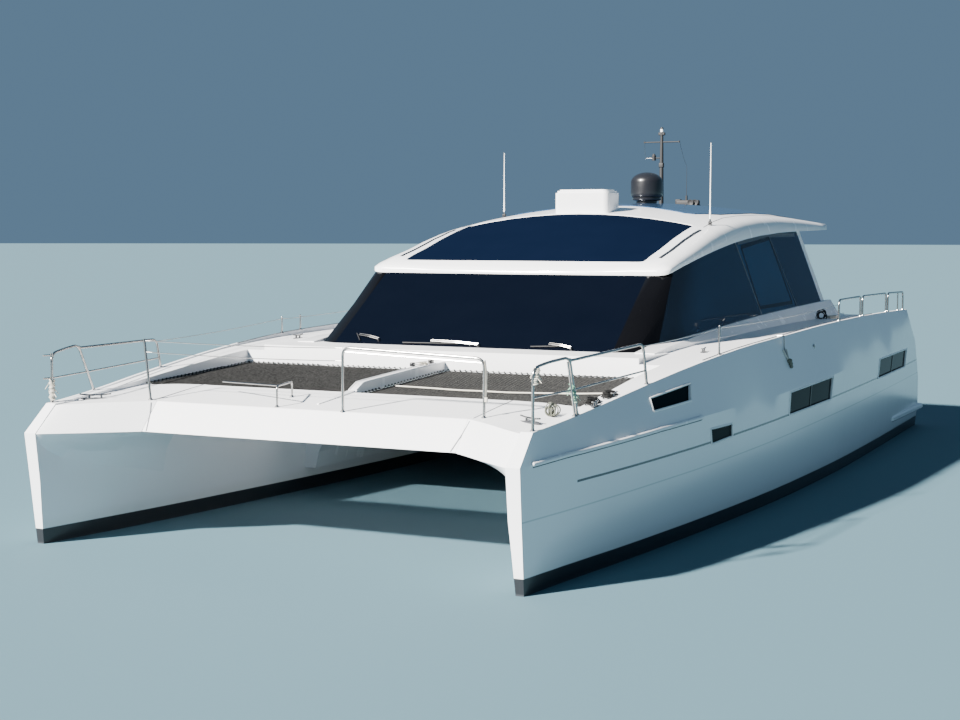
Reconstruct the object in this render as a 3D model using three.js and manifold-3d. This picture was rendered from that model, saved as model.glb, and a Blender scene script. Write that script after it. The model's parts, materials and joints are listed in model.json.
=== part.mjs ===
// A 20 m power catamaran: two slender decked hulls, a bridge deck that carries a glazed saloon,
// a raised bow beam with rope nets behind it, and a propeller and rudder under each hull.
// Lengths are millimetres. +X points at the bows, +Y to port and +Z up; the origin is on the waterline
// amidships.
import * as THREE from "three";
import { mergeVertices } from "three/addons/utils/BufferGeometryUtils.js";
import Module from "manifold-3d";

const wasm = await Module();
wasm.setup();

// Driving dimensions.
const SEAT_GAP = 0.3; // between solids that touch
const HULL_Y = 3635; // hull centreplane from the boat's centreplane
const WATERLINE_HALF_LENGTH = 10000;
const BEAM_END_Y = 2450; // where the bow beam meets the hull mouldings
const SOLE_Z = 1950; // floor of saloon and cockpit
const TUNNEL_ROOF_Z = 1080;
const CABIN_FRONT_X = 5030;
const FOREDECK_Z = 2485;
const COCKPIT_AFT_X = -8300;
const GLASS_THICKNESS = 50;
const ROOF_THICKNESS = 120;
const ROOF_HALF_WIDTH = 2790;
const SHOULDER_Y = 2500; // where the roof starts to turn down
const BULKHEAD_X = -5300;
const BULKHEAD_THICKNESS = 60;
const DOOR_HALF_WIDTH = 800;
const DOOR_TOP_Z = 3950;
const RAIL_RADIUS = 16;

// Side view of each end of a hull, from the forefoot up: height against length.
const STEM = [
  { z: -1050, x: 9200 },
  { z: -650, x: 9780 },
  { z: 0, x: WATERLINE_HALF_LENGTH },
  { z: 1560, x: 10190 },
  { z: 1950, x: 9750 },
];
const STERN = [
  { z: -650, x: -9850 },
  { z: 0, x: -WATERLINE_HALF_LENGTH },
  { z: 500, x: -9940 },
  { z: 1120, x: -9620 },
  { z: 2000, x: -8680 },
  { z: 2680, x: -8540 },
];

// Hull sections. at is the share of the length from the stem; the rest are half widths from the hull's
// centreplane, except for the names that end in Z, which are heights, and drop, the deck's depth below
// the sheer.
const HULL_COLUMNS = [
  "at",
  "keelZ",
  "water",
  "inside",
  "crease",
  "creaseZ",
  "knuckle",
  "knuckleZ",
  "sheer",
  "sheerZ",
  "inner",
  "drop",
];
const HULL = [
  [0.0, -700, 84, 26, 98, 900, 112, 1560, 86, 1935, 76, 0],
  [0.05, -860, 185, 176, 262, 915, 290, 1610, 162, 2012, 165, 12],
  [0.12, -950, 361, 361, 450, 930, 510, 1660, 292, 2160, 255, 20],
  [0.19, -1000, 502, 502, 605, 965, 672, 1700, 397, 2302, 335, 20],
  [0.26, -1020, 625, 625, 740, 1000, 790, 1732, 494, 2425, 400, 25],
  [0.36, -1040, 770, 770, 860, 1040, 895, 1757, 603, 2551, 800, 60],
  [0.45, -1040, 850, 850, 912, 1065, 943, 1780, 640, 2607, 905, 80],
  [0.6, -980, 894, 894, 938, 1100, 995, 1845, 690, 2681, 905, 110],
  [0.75, -850, 840, 840, 925, 1140, 990, 1868, 730, 2720, 905, 130],
  [0.9, -680, 752, 752, 868, 1130, 955, 1932, 750, 2713, 905, 130],
  [1.0, -560, 692, 692, 815, 1120, 915, 1990, 745, 2686, 885, 110],
].map((row) => Object.fromEntries(row.map((value, i) => [HULL_COLUMNS[i], value])));
const HULL_STATIONS = 24;
const BILGE_STEPS = 4;
const TOE_WIDTH = 60; // raised edge along the sheer

// Stern steps inside each hull: where a tread starts and its height.
const STERN_STEPS = [
  { x: -7900, z: 2150 },
  { x: -8350, z: 1750 },
  { x: -8800, z: 1350 },
  { x: -9200, z: 950 },
  { x: -9600, z: 550 },
];
const STEP_HALF_WIDTH = 620;

// Windows in the topsides: the recess's outline in side view, from the forward lower corner round by the
// aft one.
const HULL_WINDOWS = [
  [[6795, 1920], [5608, 1965], [5405, 2190], [6735, 2092]],
  [[5016, 1289], [4220, 1320], [4261, 1511], [5102, 1516]],
  [[1500, 1370], [-1100, 1400], [-1100, 1800], [1500, 1740]],
  [[-4900, 1470], [-7700, 1500], [-7700, 1880], [-4900, 1850]],
];
const WINDOW_RECESS = 28;

// Roof by length: crown on the centreline, shoulder before the turn down, and the lower edge over the
// side glass.
const ROOF = [
  { x: 2430, crown: 3670, shoulder: 3665, edge: 3620 },
  { x: 2180, crown: 3822, shoulder: 3830, edge: 3690 },
  { x: 1400, crown: 4105, shoulder: 4010, edge: 3820 },
  { x: 500, crown: 4415, shoulder: 4230, edge: 3955 },
  { x: -450, crown: 4690, shoulder: 4410, edge: 4080 },
  { x: -1400, crown: 4810, shoulder: 4530, edge: 4185 },
  { x: -2300, crown: 4875, shoulder: 4605, edge: 4255 },
  { x: -3500, crown: 4925, shoulder: 4650, edge: 4325 },
  { x: -5000, crown: 4925, shoulder: 4660, edge: 4368 },
  { x: -6500, crown: 4855, shoulder: 4625, edge: 4395 },
  { x: -8450, crown: 4620, shoulder: 4545, edge: 4425 },
];
const UPPER_GLASS = { foreX: 2120, aftX: -450, halfWidth: 2240, recess: 12 };
const ROOF_PANEL_PROUD = 14;
const ROOF_PANEL_HALF =
  [[-1960, 0], [-1900, 700], [-1550, 1650], [-1640, 1840], [-2260, 2130], [-2950, 2200], [-7300, 2200]];

// Top of the white coaming under the side glass.
const COAMING = [
  { x: 4150, topZ: 2500 },
  { x: 3500, topZ: 2575 },
  { x: 400, topZ: 2690 },
  { x: -2230, topZ: 2795 },
  { x: -4720, topZ: 2860 },
  { x: -7480, topZ: 2908 },
];
const COAMING_FOOT_Y = 3200;
const SIDE_GLASS_FOOT_Y = 2960;
const SIDE_GLASS_LEAN = 0.165; // inward for each unit of height
const SIDE_GLASS_FOOT_Z = 2550;

// Side panes and the pillar behind them: lower and upper ends of the two slanting edges.
const SIDE_PANES = [
  { name: "side_glass_fore", foreLow: 3300, foreHigh: 2155, aftLow: -2500, aftHigh: -1280,
    tint: "sideGlass" },
  { name: "side_glass_mid", foreLow: -2500, foreHigh: -1280, aftLow: -5075, aftHigh: -3620,
    tint: "sideGlass" },
  { name: "side_glass_aft", foreLow: -5075, foreHigh: -3620, aftLow: -7120, aftHigh: -5760,
    tint: "sideGlass" },
  { name: "aft_pillar", foreLow: -7120, foreHigh: -5760, aftLow: -7420, aftHigh: -6000, tint: "gelcoat" },
];
const PANE_LOW_Z = 2530;
const PANE_HIGH_Z = 4500;

// Running gear under each hull.
const SHAFT = { radius: 30, foreX: -5400, foreZ: -700, aftX: -8020, aftZ: -1050 };
const PROPELLER = { radius: 290, hubRadius: 62, hubLength: 170, blades: 4 };
const RUDDER =
  { x: -9050, topZ: -670, bottomZ: -1330, foreChord: 150, aftChord: 370, halfThickness: 42, stockRadius: 38 };
const BEARING_CLEARANCE = 0.6;

const FINISH = {
  gelcoat: { color: 0xf3f4f5, roughness: 0.28, metalness: 0 },
  darkGlass: { color: 0x05070d, roughness: 0.06, metalness: 0 },
  sideGlass: { color: 0x12202e, roughness: 0.07, metalness: 0 },
  blackPlastic: { color: 0x101114, roughness: 0.35, metalness: 0 },
  steel: { color: 0xc8ccd0, roughness: 0.2, metalness: 1 },
  bronze: { color: 0xa97b45, roughness: 0.35, metalness: 1 },
  net: { color: 0x35383c, roughness: 0.85, metalness: 0 },
  cushion: { color: 0x9b9892, roughness: 0.85, metalness: 0 },
  joinery: { color: 0x8c6a4a, roughness: 0.45, metalness: 0 },
  bluePanel: { color: 0x0e2238, roughness: 0.1, metalness: 0.2 },
};

// A value between the rows of a table: a cubic through the rows, with each slope from its neighbours.
function between(table, key, column, value) {
  const rows = table[0][key] < table[table.length - 1][key] ? table : [...table].reverse();
  const last = rows.length - 1;
  if (value <= rows[0][key]) return rows[0][column];
  if (value >= rows[last][key]) return rows[last][column];
  let i = 0;
  while (value > rows[i + 1][key]) i += 1;
  const slope = (a, b) => (rows[b][column] - rows[a][column]) / (rows[b][key] - rows[a][key]);
  const step = rows[i + 1][key] - rows[i][key];
  const slopeIn = slope(Math.max(i - 1, 0), i + 1) * step;
  const slopeOut = slope(i, Math.min(i + 2, last)) * step;
  const t = (value - rows[i][key]) / step;
  const [a, b] = [rows[i][column], rows[i + 1][column]];
  return (
    a * (2 * t ** 3 - 3 * t ** 2 + 1) +
    slopeIn * (t ** 3 - 2 * t ** 2 + t) +
    b * (3 * t ** 2 - 2 * t ** 3) +
    slopeOut * (t ** 3 - t ** 2)
  );
}

// The same on straight lines between the rows.
function along(table, key, column, value) {
  const rows = table[0][key] < table[table.length - 1][key] ? table : [...table].reverse();
  if (value <= rows[0][key]) return rows[0][column];
  for (let i = 1; i < rows.length; i += 1) {
    if (value <= rows[i][key]) {
      const t = (value - rows[i - 1][key]) / (rows[i][key] - rows[i - 1][key]);
      return rows[i - 1][column] + t * (rows[i][column] - rows[i - 1][column]);
    }
  }
  return rows[rows.length - 1][column];
}

const spread = (from, to, count) =>
  Array.from({ length: count }, (_, i) => from + ((to - from) * i) / (count - 1));

// Solids.
function solid(geometry) {
  const bare = geometry.index ? geometry.toNonIndexed() : geometry.clone();
  bare.deleteAttribute("normal");
  bare.deleteAttribute("uv");
  const merged = mergeVertices(bare, 1e-3);
  const made = new wasm.Manifold(
    new wasm.Mesh({
      numProp: 3,
      vertProperties: new Float32Array(merged.attributes.position.array),
      triVerts: new Uint32Array(merged.index.array),
    }),
  );
  if (made.volume() > 0) return made;
  throw new Error("a solid is inside out");
}

function geometryOf(made) {
  const mesh = made.getMesh();
  const positions = new Float32Array(mesh.numVert * 3);
  for (let i = 0; i < mesh.numVert; i += 1) {
    positions.set(mesh.vertProperties.subarray(i * mesh.numProp, i * mesh.numProp + 3), i * 3);
  }
  return new THREE.BufferGeometry()
    .setAttribute("position", new THREE.BufferAttribute(positions, 3))
    .setIndex(new THREE.BufferAttribute(new Uint32Array(mesh.triVerts), 1));
}

const joined = (...parts) => parts.reduce((sum, part) => sum.add(part));
const cut = (part, ...tools) => tools.reduce((left, tool) => left.subtract(tool), part);
const moved = (part, x, y, z) => part.translate([x, y, z]);
const mirroredToStarboard = (part) => part.mirror([0, 1, 0]);

// A closed body from triangles given as points, with its faces turned outwards.
function bodyFrom(points, faces) {
  const build = (list) => {
    const geometry = new THREE.BufferGeometry();
    geometry.setAttribute("position", new THREE.Float32BufferAttribute(points.flat(), 3));
    geometry.setIndex(list.flat());
    return geometry;
  };
  const volume = faces.reduce((sum, [a, b, c]) => {
    const [p, q, r] = [a, b, c].map((i) => new THREE.Vector3(...points[i]));
    return sum + p.dot(q.cross(r));
  }, 0);
  return solid(build(volume > 0 ? faces : faces.map(([a, b, c]) => [a, c, b])));
}

// A loft through rings of points, closed by a flat cap at each end. Caps are laid out on the axes named
// by flat, unless the triangles of the first one are given.
function loft(rings, flat, firstCap = null) {
  const count = rings[0].length;
  const faces = [];
  for (let i = 0; i < rings.length - 1; i += 1) {
    for (let j = 0; j < count; j += 1) {
      const k = (j + 1) % count;
      const [a, b, c, d] = [i * count + j, i * count + k, (i + 1) * count + k, (i + 1) * count + j];
      faces.push([a, b, c], [a, c, d]);
    }
  }
  if (firstCap) faces.push(...firstCap);
  [0, rings.length - 1].slice(firstCap ? 1 : 0).forEach((ring) => {
    const outline = rings[ring].map((p) => new THREE.Vector2(p[flat[0]], p[flat[1]]));
    const clockwise = THREE.ShapeUtils.isClockWise(outline);
    THREE.ShapeUtils.triangulateShape(outline, []).forEach(([a, b, c]) => {
      const turn = THREE.ShapeUtils.isClockWise([outline[a], outline[b], outline[c]]) === clockwise;
      const face = turn === (ring === 0) ? [a, c, b] : [a, b, c];
      faces.push(face.map((i) => ring * count + i));
    });
  });
  return bodyFrom(rings.flat(), faces);
}

// A slab over a grid, between an upper and a lower height given by functions of x and y.
function slab(xs, ys, upper, lower) {
  const points = [upper, lower].flatMap((height) => xs.flatMap((x) => ys.map((y) => [x, y, height(x, y)])));
  const at = (layer, i, j) => (layer * xs.length + i) * ys.length + j;
  const faces = [];
  const wall = (i, j, k, l) => {
    faces.push([at(0, i, j), at(1, k, l), at(0, k, l)], [at(0, i, j), at(1, i, j), at(1, k, l)]);
  };
  for (let i = 0; i < xs.length - 1; i += 1) {
    for (let j = 0; j < ys.length - 1; j += 1) {
      faces.push([at(0, i, j), at(0, i + 1, j), at(0, i + 1, j + 1)],
        [at(0, i, j), at(0, i + 1, j + 1), at(0, i, j + 1)]);
      faces.push([at(1, i, j), at(1, i + 1, j + 1), at(1, i + 1, j)],
        [at(1, i, j), at(1, i, j + 1), at(1, i + 1, j + 1)]);
    }
    wall(i, 0, i + 1, 0);
    wall(i + 1, ys.length - 1, i, ys.length - 1);
  }
  for (let j = 0; j < ys.length - 1; j += 1) {
    wall(0, j + 1, 0, j);
    wall(xs.length - 1, j, xs.length - 1, j + 1);
  }
  return bodyFrom(points, faces);
}

// The same over both halves of the boat, with like triangles on each side.
function evenSlab(xs, halfYs, upper, lower) {
  const half = slab(xs, halfYs, upper, lower);
  return joined(half, mirroredToStarboard(half));
}

// An outline pushed along an axis: points are (x, y) for z, (x, z) for y and (y, z) for x.
function prism(outline, axis, from, to) {
  const shape = outline instanceof THREE.Shape ?
    outline : new THREE.Shape(outline.map(([u, v]) => new THREE.Vector2(u, v)));
  const geometry =
    new THREE.ExtrudeGeometry(shape, { depth: to - from, bevelEnabled: false, curveSegments: 5 });
  const place = new THREE.Matrix4();
  if (axis === "x") place.set(0, 0, 1, from, 1, 0, 0, 0, 0, 1, 0, 0, 0, 0, 0, 1);
  if (axis === "y") place.set(1, 0, 0, 0, 0, 0, -1, to, 0, 1, 0, 0, 0, 0, 0, 1);
  if (axis === "z") place.makeTranslation(0, 0, from);
  return solid(geometry.applyMatrix4(place));
}

const block = (low, high) =>
  solid(
    new THREE.BoxGeometry(high[0] - low[0], high[1] - low[1], high[2] - low[2]).translate(
      (high[0] + low[0]) / 2,
      (high[1] + low[1]) / 2,
      (high[2] + low[2]) / 2,
    ),
  );

// A round bar between two points, the second end of its own radius where one is given.
function bar(from, to, radius, endRadius = radius, sides = 8) {
  const [a, b] = [new THREE.Vector3(...from), new THREE.Vector3(...to)];
  const way = b.clone().sub(a);
  const geometry = new THREE.CylinderGeometry(endRadius, radius, way.length(), sides);
  geometry.applyQuaternion(new THREE.Quaternion().setFromUnitVectors(new THREE.Vector3(0, 1, 0),
    way.clone().normalize()));
  geometry.translate(...a.add(b).divideScalar(2).toArray());
  return solid(geometry);
}

// A path through given points that meets each of them at an even step.
class BentPath extends THREE.Curve {
  constructor(points) {
    super();
    this.points = points.map((p) => new THREE.Vector3(...p));
  }
  getPoint(t) {
    const place = t * (this.points.length - 1);
    const i = Math.min(Math.floor(place), this.points.length - 2);
    return this.points[i].clone().lerp(this.points[i + 1], place - i);
  }
  getPointAt(t) {
    return this.getPoint(t);
  }
  getTangentAt(t) {
    const half = 0.5 / (this.points.length - 1);
    return this.getPoint(Math.min(t + half, 1)).sub(this.getPoint(Math.max(t - half, 0))).normalize();
  }
}

// A bent tube: straight runs between the given points, with each inner corner eased over the given length.
function tube(points, radius = RAIL_RADIUS, ease = 120) {
  const corners = points.map((p) => new THREE.Vector3(...p));
  const path = [corners[0]];
  for (let i = 1; i < corners.length - 1; i += 1) {
    const reach = (end) => corners[i].clone().add(end.clone().sub(corners[i]).setLength(ease));
    const curve = new THREE.QuadraticBezierCurve3(reach(corners[i - 1]), corners[i], reach(corners[i + 1]));
    path.push(...curve.getPoints(3));
  }
  path.push(corners[corners.length - 1]);
  const round = new THREE.Shape().absarc(0, 0, radius, 0, 2 * Math.PI, false);
  const extrudePath = new BentPath(path.map((p) => p.toArray()));
  return solid(new THREE.ExtrudeGeometry(round, { steps: path.length - 1, extrudePath, curveSegments: 4 }));
}

// A rounded rectangle about a centre, in the plane of an outline.
function roundedRectangle(u0, v0, u1, v1, radius) {
  const shape = new THREE.Shape();
  shape.moveTo(u0 + radius, v0);
  shape.lineTo(u1 - radius, v0);
  shape.absarc(u1 - radius, v0 + radius, radius, -Math.PI / 2, 0, false);
  shape.lineTo(u1, v1 - radius);
  shape.absarc(u1 - radius, v1 - radius, radius, 0, Math.PI / 2, false);
  shape.lineTo(u0 + radius, v1);
  shape.absarc(u0 + radius, v1 - radius, radius, Math.PI / 2, Math.PI, false);
  shape.lineTo(u0, v0 + radius);
  shape.absarc(u0 + radius, v0 + radius, radius, Math.PI, 1.5 * Math.PI, false);
  return shape;
}

// The assembly. Every piece is made in its place, for port and then mirrored where it has a twin.
const boat = new THREE.Group();
function add(name, part, finish) {
  const mesh = new THREE.Mesh(geometryOf(part), new THREE.MeshStandardMaterial(FINISH[finish]));
  mesh.name = name;
  boat.add(mesh);
  return part;
}
function addPair(name, part, finish) {
  add(`${name}_port`, part, finish);
  add(`${name}_starboard`, mirroredToStarboard(part), finish);
  return part;
}
// What is left of a piece above its carrier, trimmed to stand on it with the seating gap.
const seatedOn = (part, ...carriers) =>
  cut(part, ...carriers.flatMap((carrier) =>
    [-SEAT_GAP, 0, SEAT_GAP].map((rise) => moved(carrier, 0, 0, rise))));

const largestBody = (part) => part.decompose().sort((a, b) => b.volume() - a.volume())[0];

// Hulls.
const hullRow = (at) =>
  Object.fromEntries(HULL_COLUMNS.map((column) => [column, between(HULL, "at", column, at)]));
const hullX = (at, z) => along(STEM, "z", "x", z) * (1 - at) + along(STERN, "z", "x", z) * at;
const MIDDLE_Z = 500; // a height between the waterline and the crease, where the transom starts to rake
const middleOffset = (row) => row.water + ((row.crease - row.water) * MIDDLE_Z * 1.1) / row.creaseZ;
const innerHalf = (row) => Math.max(row.inner, row.inside * 1.02); // of the tunnel side, up at the crease
function hullRing(at) {
  const row = hullRow(at);
  const place = (offset, z) => [hullX(at, z), HULL_Y + offset, z];
  const bilge = (side) =>
    spread(0, 1, BILGE_STEPS + 1).map((t) => {
      const turn = (t * Math.PI) / 2;
      const half = side > 0 ? row.water : row.inside;
      return place(side * half * Math.sin(turn), row.keelZ * Math.cos(turn));
    });
  const deckZ = row.sheerZ - row.drop;
  const toe = Math.min(TOE_WIDTH, row.sheer * 0.5);
  const insideHalf = innerHalf(row);
  const outside = [
    ...bilge(1),
    place(middleOffset(row), MIDDLE_Z),
    place(row.crease, row.creaseZ),
    place(row.knuckle, row.knuckleZ),
    place(row.sheer, row.sheerZ),
    place(row.sheer - toe, row.sheerZ + 1),
    place(row.sheer - toe * 1.3, deckZ + 0.5),
  ];
  const inside = [
    place(-row.inner, deckZ),
    place(-insideHalf, row.knuckleZ),
    place(-insideHalf, row.creaseZ),
    place((-insideHalf - row.inside) / 2, MIDDLE_Z),
    ...bilge(-1).reverse().slice(0, -1),
  ];
  return [...outside, ...inside];
}
const hullStations = spread(0, 1, HULL_STATIONS).map((t) => t ** 1.25);
// The stem's front face, level by level: its two edges stand opposite each other up to the knuckle.
function stemFace() {
  const count = hullRing(0).length;
  const knuckle = BILGE_STEPS + 3;
  const faces = [];
  for (let n = 0; n < knuckle; n += 1) {
    faces.push([count - n - 1, n + 1, n]);
    if (n > 0) faces.push([count - n, count - n - 1, n]);
  }
  for (let n = knuckle; n < count - knuckle - 1; n += 1) faces.push([count - knuckle, n + 1, n]);
  return faces;
}
const hullBody = loft(hullStations.map(hullRing), [1, 2], stemFace());

// The topside's distance from the centreplane at a length and height.
function topsideY(x, z) {
  const [fore, aft] = [along(STEM, "z", "x", z), along(STERN, "z", "x", z)];
  const row = hullRow((fore - x) / (fore - aft));
  const profile = [
    { z: 0, y: row.water },
    { z: MIDDLE_Z, y: middleOffset(row) },
    { z: row.creaseZ, y: row.crease },
    { z: row.knuckleZ, y: row.knuckle },
    { z: row.sheerZ, y: row.sheer },
  ];
  return HULL_Y + along(profile, "z", "y", z);
}

// The sheer's distance from the centreplane and its height at a length.
function sheerAt(x) {
  let [low, high] = [0, 1];
  for (let i = 0; i < 30; i += 1) {
    const at = (low + high) / 2;
    if (hullX(at, hullRow(at).sheerZ) > x) low = at;
    else high = at;
  }
  const row = hullRow(low);
  return { y: HULL_Y + row.sheer, z: row.sheerZ };
}

// The bow beam's end sweeps forward to the stem, and a cove below it turns down into the tunnel side of
// the hull.
const BOW_FAIRING = [
  { y: BEAM_END_Y, foreLowX: 9300, foreHighX: 8950, foreTopZ: 1950, aftTopZ: 2080 },
  { y: 2700, foreLowX: 9500, foreHighX: 9150, foreTopZ: 1948, aftTopZ: 2075 },
  { y: 3000, foreLowX: 9755, foreHighX: 9395, foreTopZ: 1944, aftTopZ: 2068 },
  { y: 3300, foreLowX: 9990, foreHighX: 9625, foreTopZ: 1930, aftTopZ: 2050 },
  { y: 3560, foreLowX: 10184, foreHighX: 9780, foreTopZ: 1915, aftTopZ: 2036 },
  { y: 3660, foreLowX: 10184, foreHighX: 9780, foreTopZ: 1905, aftTopZ: 2030 },
];
const BEAM = { aftX: 7750, frontLowZ: 1555, dipX: 700, dipZ: 1520, aftLowZ: 1580 };
const beamUnder = (back) => {
  const rows = [
    { back: 0, z: BEAM.frontLowZ },
    { back: BEAM.dipX, z: BEAM.dipZ },
    { back: BOW_FAIRING[0].foreLowX - BEAM.aftX, z: BEAM.aftLowZ },
  ];
  return along(rows, "back", "z", back);
};
const COVE = { depth: 850, reach: 2500, backs: [0, 90, 230, 450, 800, 1300] };
const COVE_ROWS = [0, 0.22, 0.42, 0.58, 0.72, 0.84, 0.93, 1];
const tunnelSideY = (x) => {
  const [fore, aft] = [along(STEM, "z", "x", MIDDLE_Z * 2), along(STERN, "z", "x", MIDDLE_Z * 2)];
  return HULL_Y - innerHalf(hullRow(Math.max((fore - x) / (fore - aft), 0)));
};
function coveRing(share) {
  const endY = (x) => BEAM_END_Y + (tunnelSideY(x) - BEAM_END_Y) * share;
  const place = (back, x) => {
    const depth = COVE.depth * Math.sqrt(Math.min(back / COVE.reach, 1)) * (1 - Math.sqrt(1 - share ** 2));
    return [x, endY(x), beamUnder(back) - depth];
  };
  const meet = (column, back) => {
    let x = BOW_FAIRING[0][column];
    for (let i = 0; i < 20; i += 1) x = between(BOW_FAIRING, "y", column, endY(x)) - back;
    return x;
  };
  const under = COVE.backs.map((back) => place(back, meet("foreLowX", back)));
  const highX = meet("foreHighX", 0);
  return [
    ...under,
    place(meet("foreLowX", 0) - BEAM.aftX, BEAM.aftX),
    [BEAM.aftX, endY(BEAM.aftX), between(BOW_FAIRING, "y", "aftTopZ", endY(BEAM.aftX))],
    [highX, endY(highX), between(BOW_FAIRING, "y", "foreTopZ", endY(highX))],
  ];
}
// The last ring lies inside the hull, so the fairing joins it without a step.
const coveRings = COVE_ROWS.map(coveRing);
const lastRow = BOW_FAIRING[BOW_FAIRING.length - 1];
const coveEnd = coveRings[coveRings.length - 1].map(([x, y, z], i) => {
  if (i <= COVE.backs.length) return [x, Math.min(y + 70, lastRow.y), z];
  return i === COVE.backs.length + 1 ?
    [x, lastRow.y, lastRow.aftTopZ] : [lastRow.foreHighX, lastRow.y, lastRow.foreTopZ];
});
const bowFairing = loft([...coveRings, coveEnd], [0, 2]);

// The well between the hulls for the nets: its outline on the port side.
const WELL = { foreX: BEAM.aftX, aftX: CABIN_FRONT_X, sideForeY: 3620, sideAftY: 3600 };
const NET = { thickness: 22, foreZ: 2045, aftZ: 2190, sag: 45 };
const SPINE = { halfWidth: 75, foreTopZ: 2200, aftTopZ: 2330, foreLowZ: 1900, aftLowZ: 2000 };
function wellPlan(gap) {
  const shape = new THREE.Shape();
  shape.moveTo(WELL.aftX + gap, SPINE.halfWidth + gap);
  shape.lineTo(WELL.foreX - gap, SPINE.halfWidth + gap);
  shape.lineTo(WELL.foreX - gap, WELL.sideForeY - gap);
  shape.lineTo(WELL.aftX + gap, WELL.sideAftY - gap);
  shape.closePath();
  return shape;
}
const netTop = (x, y) => {
  const t = (WELL.foreX - x) / (WELL.foreX - WELL.aftX);
  const across = (y - SPINE.halfWidth) / (WELL.sideAftY - SPINE.halfWidth);
  const middle = Math.max(Math.sin(Math.PI * t) * Math.sin(Math.PI * across), 0);
  return NET.foreZ + (NET.aftZ - NET.foreZ) * t - NET.sag * middle;
};
const netXs = spread(WELL.aftX, WELL.foreX, 6);
const netYs = spread(SPINE.halfWidth, WELL.sideForeY + 10, 7);
const netUnder = (x, y) => netTop(x, y) - NET.thickness;
const aboveNet = slab(netXs, netYs, () => 3500, (x, y) => netUnder(x, y) - SEAT_GAP);
const netWell = aboveNet.intersect(prism(wellPlan(0), "z", 1500, 3600));
// Forward of the nets the deck lies lower than the hull's edge, level with the beam.
const bowWell =
  prism([[BEAM.aftX - 1, 2400], [9330, 2400], [9330, 3640], [BEAM.aftX - 1, WELL.sideForeY]], "z", 1880,
  3500);

const stepCuts = joined(
  ...STERN_STEPS.map(({ x, z }) =>
    block([-11000, HULL_Y - STEP_HALF_WIDTH, z], [x, HULL_Y + STEP_HALF_WIDTH, 3500])),
);
const windowCuts = HULL_WINDOWS.map((outline) =>
  loft(
    [-WINDOW_RECESS, 400].map((out) => outline.map(([x, z]) => [x, topsideY(x, z) + out, z])),
    [0, 2],
  ),
);
const STERN_STRAKE = { foreX: -6760, aftX: -10040, z: 440, halfHeight: 60, inY: 4300, outY: 4500 };
const strakeRing = (x, outY, half) => [
  [x, STERN_STRAKE.inY, STERN_STRAKE.z - half],
  [x, outY - 30, STERN_STRAKE.z - half],
  [x, outY, STERN_STRAKE.z - half / 2],
  [x, outY, STERN_STRAKE.z + half / 2],
  [x, outY - 30, STERN_STRAKE.z + half],
  [x, STERN_STRAKE.inY, STERN_STRAKE.z + half],
];
const sternStrake = loft(
  [
    strakeRing(STERN_STRAKE.foreX, STERN_STRAKE.outY - 60, STERN_STRAKE.halfHeight * 0.7),
    strakeRing(STERN_STRAKE.foreX - 120, STERN_STRAKE.outY, STERN_STRAKE.halfHeight),
    strakeRing(STERN_STRAKE.aftX + 80, STERN_STRAKE.outY, STERN_STRAKE.halfHeight),
    strakeRing(STERN_STRAKE.aftX, STERN_STRAKE.outY - 60, STERN_STRAKE.halfHeight * 0.7),
  ],
  [1, 2],
);

const shaftLine = new THREE.Vector3(SHAFT.aftX - SHAFT.foreX, 0, SHAFT.aftZ - SHAFT.foreZ);
const alongShaft = (distance) => {
  const point =
    new THREE.Vector3(SHAFT.foreX, HULL_Y, SHAFT.foreZ).add(shaftLine.clone().setLength(distance));
  return point.toArray();
};
const shaftLength = shaftLine.length();
const shaftBore =
  bar(alongShaft(-60), alongShaft(shaftLength + 60), SHAFT.radius + BEARING_CLEARANCE, undefined, 24);
const stockBore = bar(
  [RUDDER.x, HULL_Y, RUDDER.topZ - 50],
  [RUDDER.x, HULL_Y, RUDDER.topZ + 360],
  RUDDER.stockRadius + BEARING_CLEARANCE,
  undefined,
  24,
);

const hullShell = joined(cut(hullBody, bowWell), bowFairing, sternStrake);
const hull = cut(hullShell, netWell, stepCuts, ...windowCuts, shaftBore, stockBore);
const hulls = [hull, mirroredToStarboard(hull)];
add("hull_port", hulls[0], "gelcoat");
add("hull_starboard", hulls[1], "gelcoat");
const clearOfHulls = (part) =>
  cut(part, ...hulls.flatMap((body) =>
    [moved(body, 0, SEAT_GAP, 0), moved(body, 0, -SEAT_GAP, 0), moved(body, 0, 0, SEAT_GAP)]));

// Bridge deck: a deep slab between the hulls, with a centre nacelle and hollow fairings along the tunnel.
const BRIDGE_PROFILE = [
  [CABIN_FRONT_X, FOREDECK_Z],
  [CABIN_FRONT_X, 2050],
  [4880, 1450],
  [4500, 1140],
  [4000, TUNNEL_ROOF_Z],
  [COCKPIT_AFT_X + 120, TUNNEL_ROOF_Z],
  [COCKPIT_AFT_X, TUNNEL_ROOF_Z + 100],
  [COCKPIT_AFT_X, SOLE_Z],
  [3700, SOLE_Z],
  [3750, FOREDECK_Z],
];
const TUNNEL_FAIRING =
  [[1900, 1090], [2300, 1040], [2550, 900], [2690, 660], [2760, 380], [3000, 380], [3000, 1090]];
const NACELLE = [[0, 1100], [950, 1100], [760, 900], [420, 780], [0, 760]];
const nacelleHalf = (side) => NACELLE.map(([y, z]) => [side * y, z]);
const nacelleOutline =
  [...nacelleHalf(-1).slice(1, -1), [0, NACELLE[4][1]], ...nacelleHalf(1).slice(1, -1).reverse()];
const NACELLE_TRIM = [
  [4850, 1450],
  [4350, 1110],
  [3500, 930],
  [2400, 820],
  [1000, 740],
  [-6200, 740],
  [-7400, 1150],
  [-7400, 1450],
];
const nacelleTrim = prism(NACELLE_TRIM, "y", -1200, 1200);
const fairing = prism(TUNNEL_FAIRING, "x", -8000, 4300);
const bridgeDeck = clearOfHulls(
  joined(
    prism(BRIDGE_PROFILE, "y", -3270, 3270),
    prism(nacelleOutline, "x", -7400, 4850).intersect(nacelleTrim),
    fairing,
    mirroredToStarboard(fairing),
  ),
);
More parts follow.
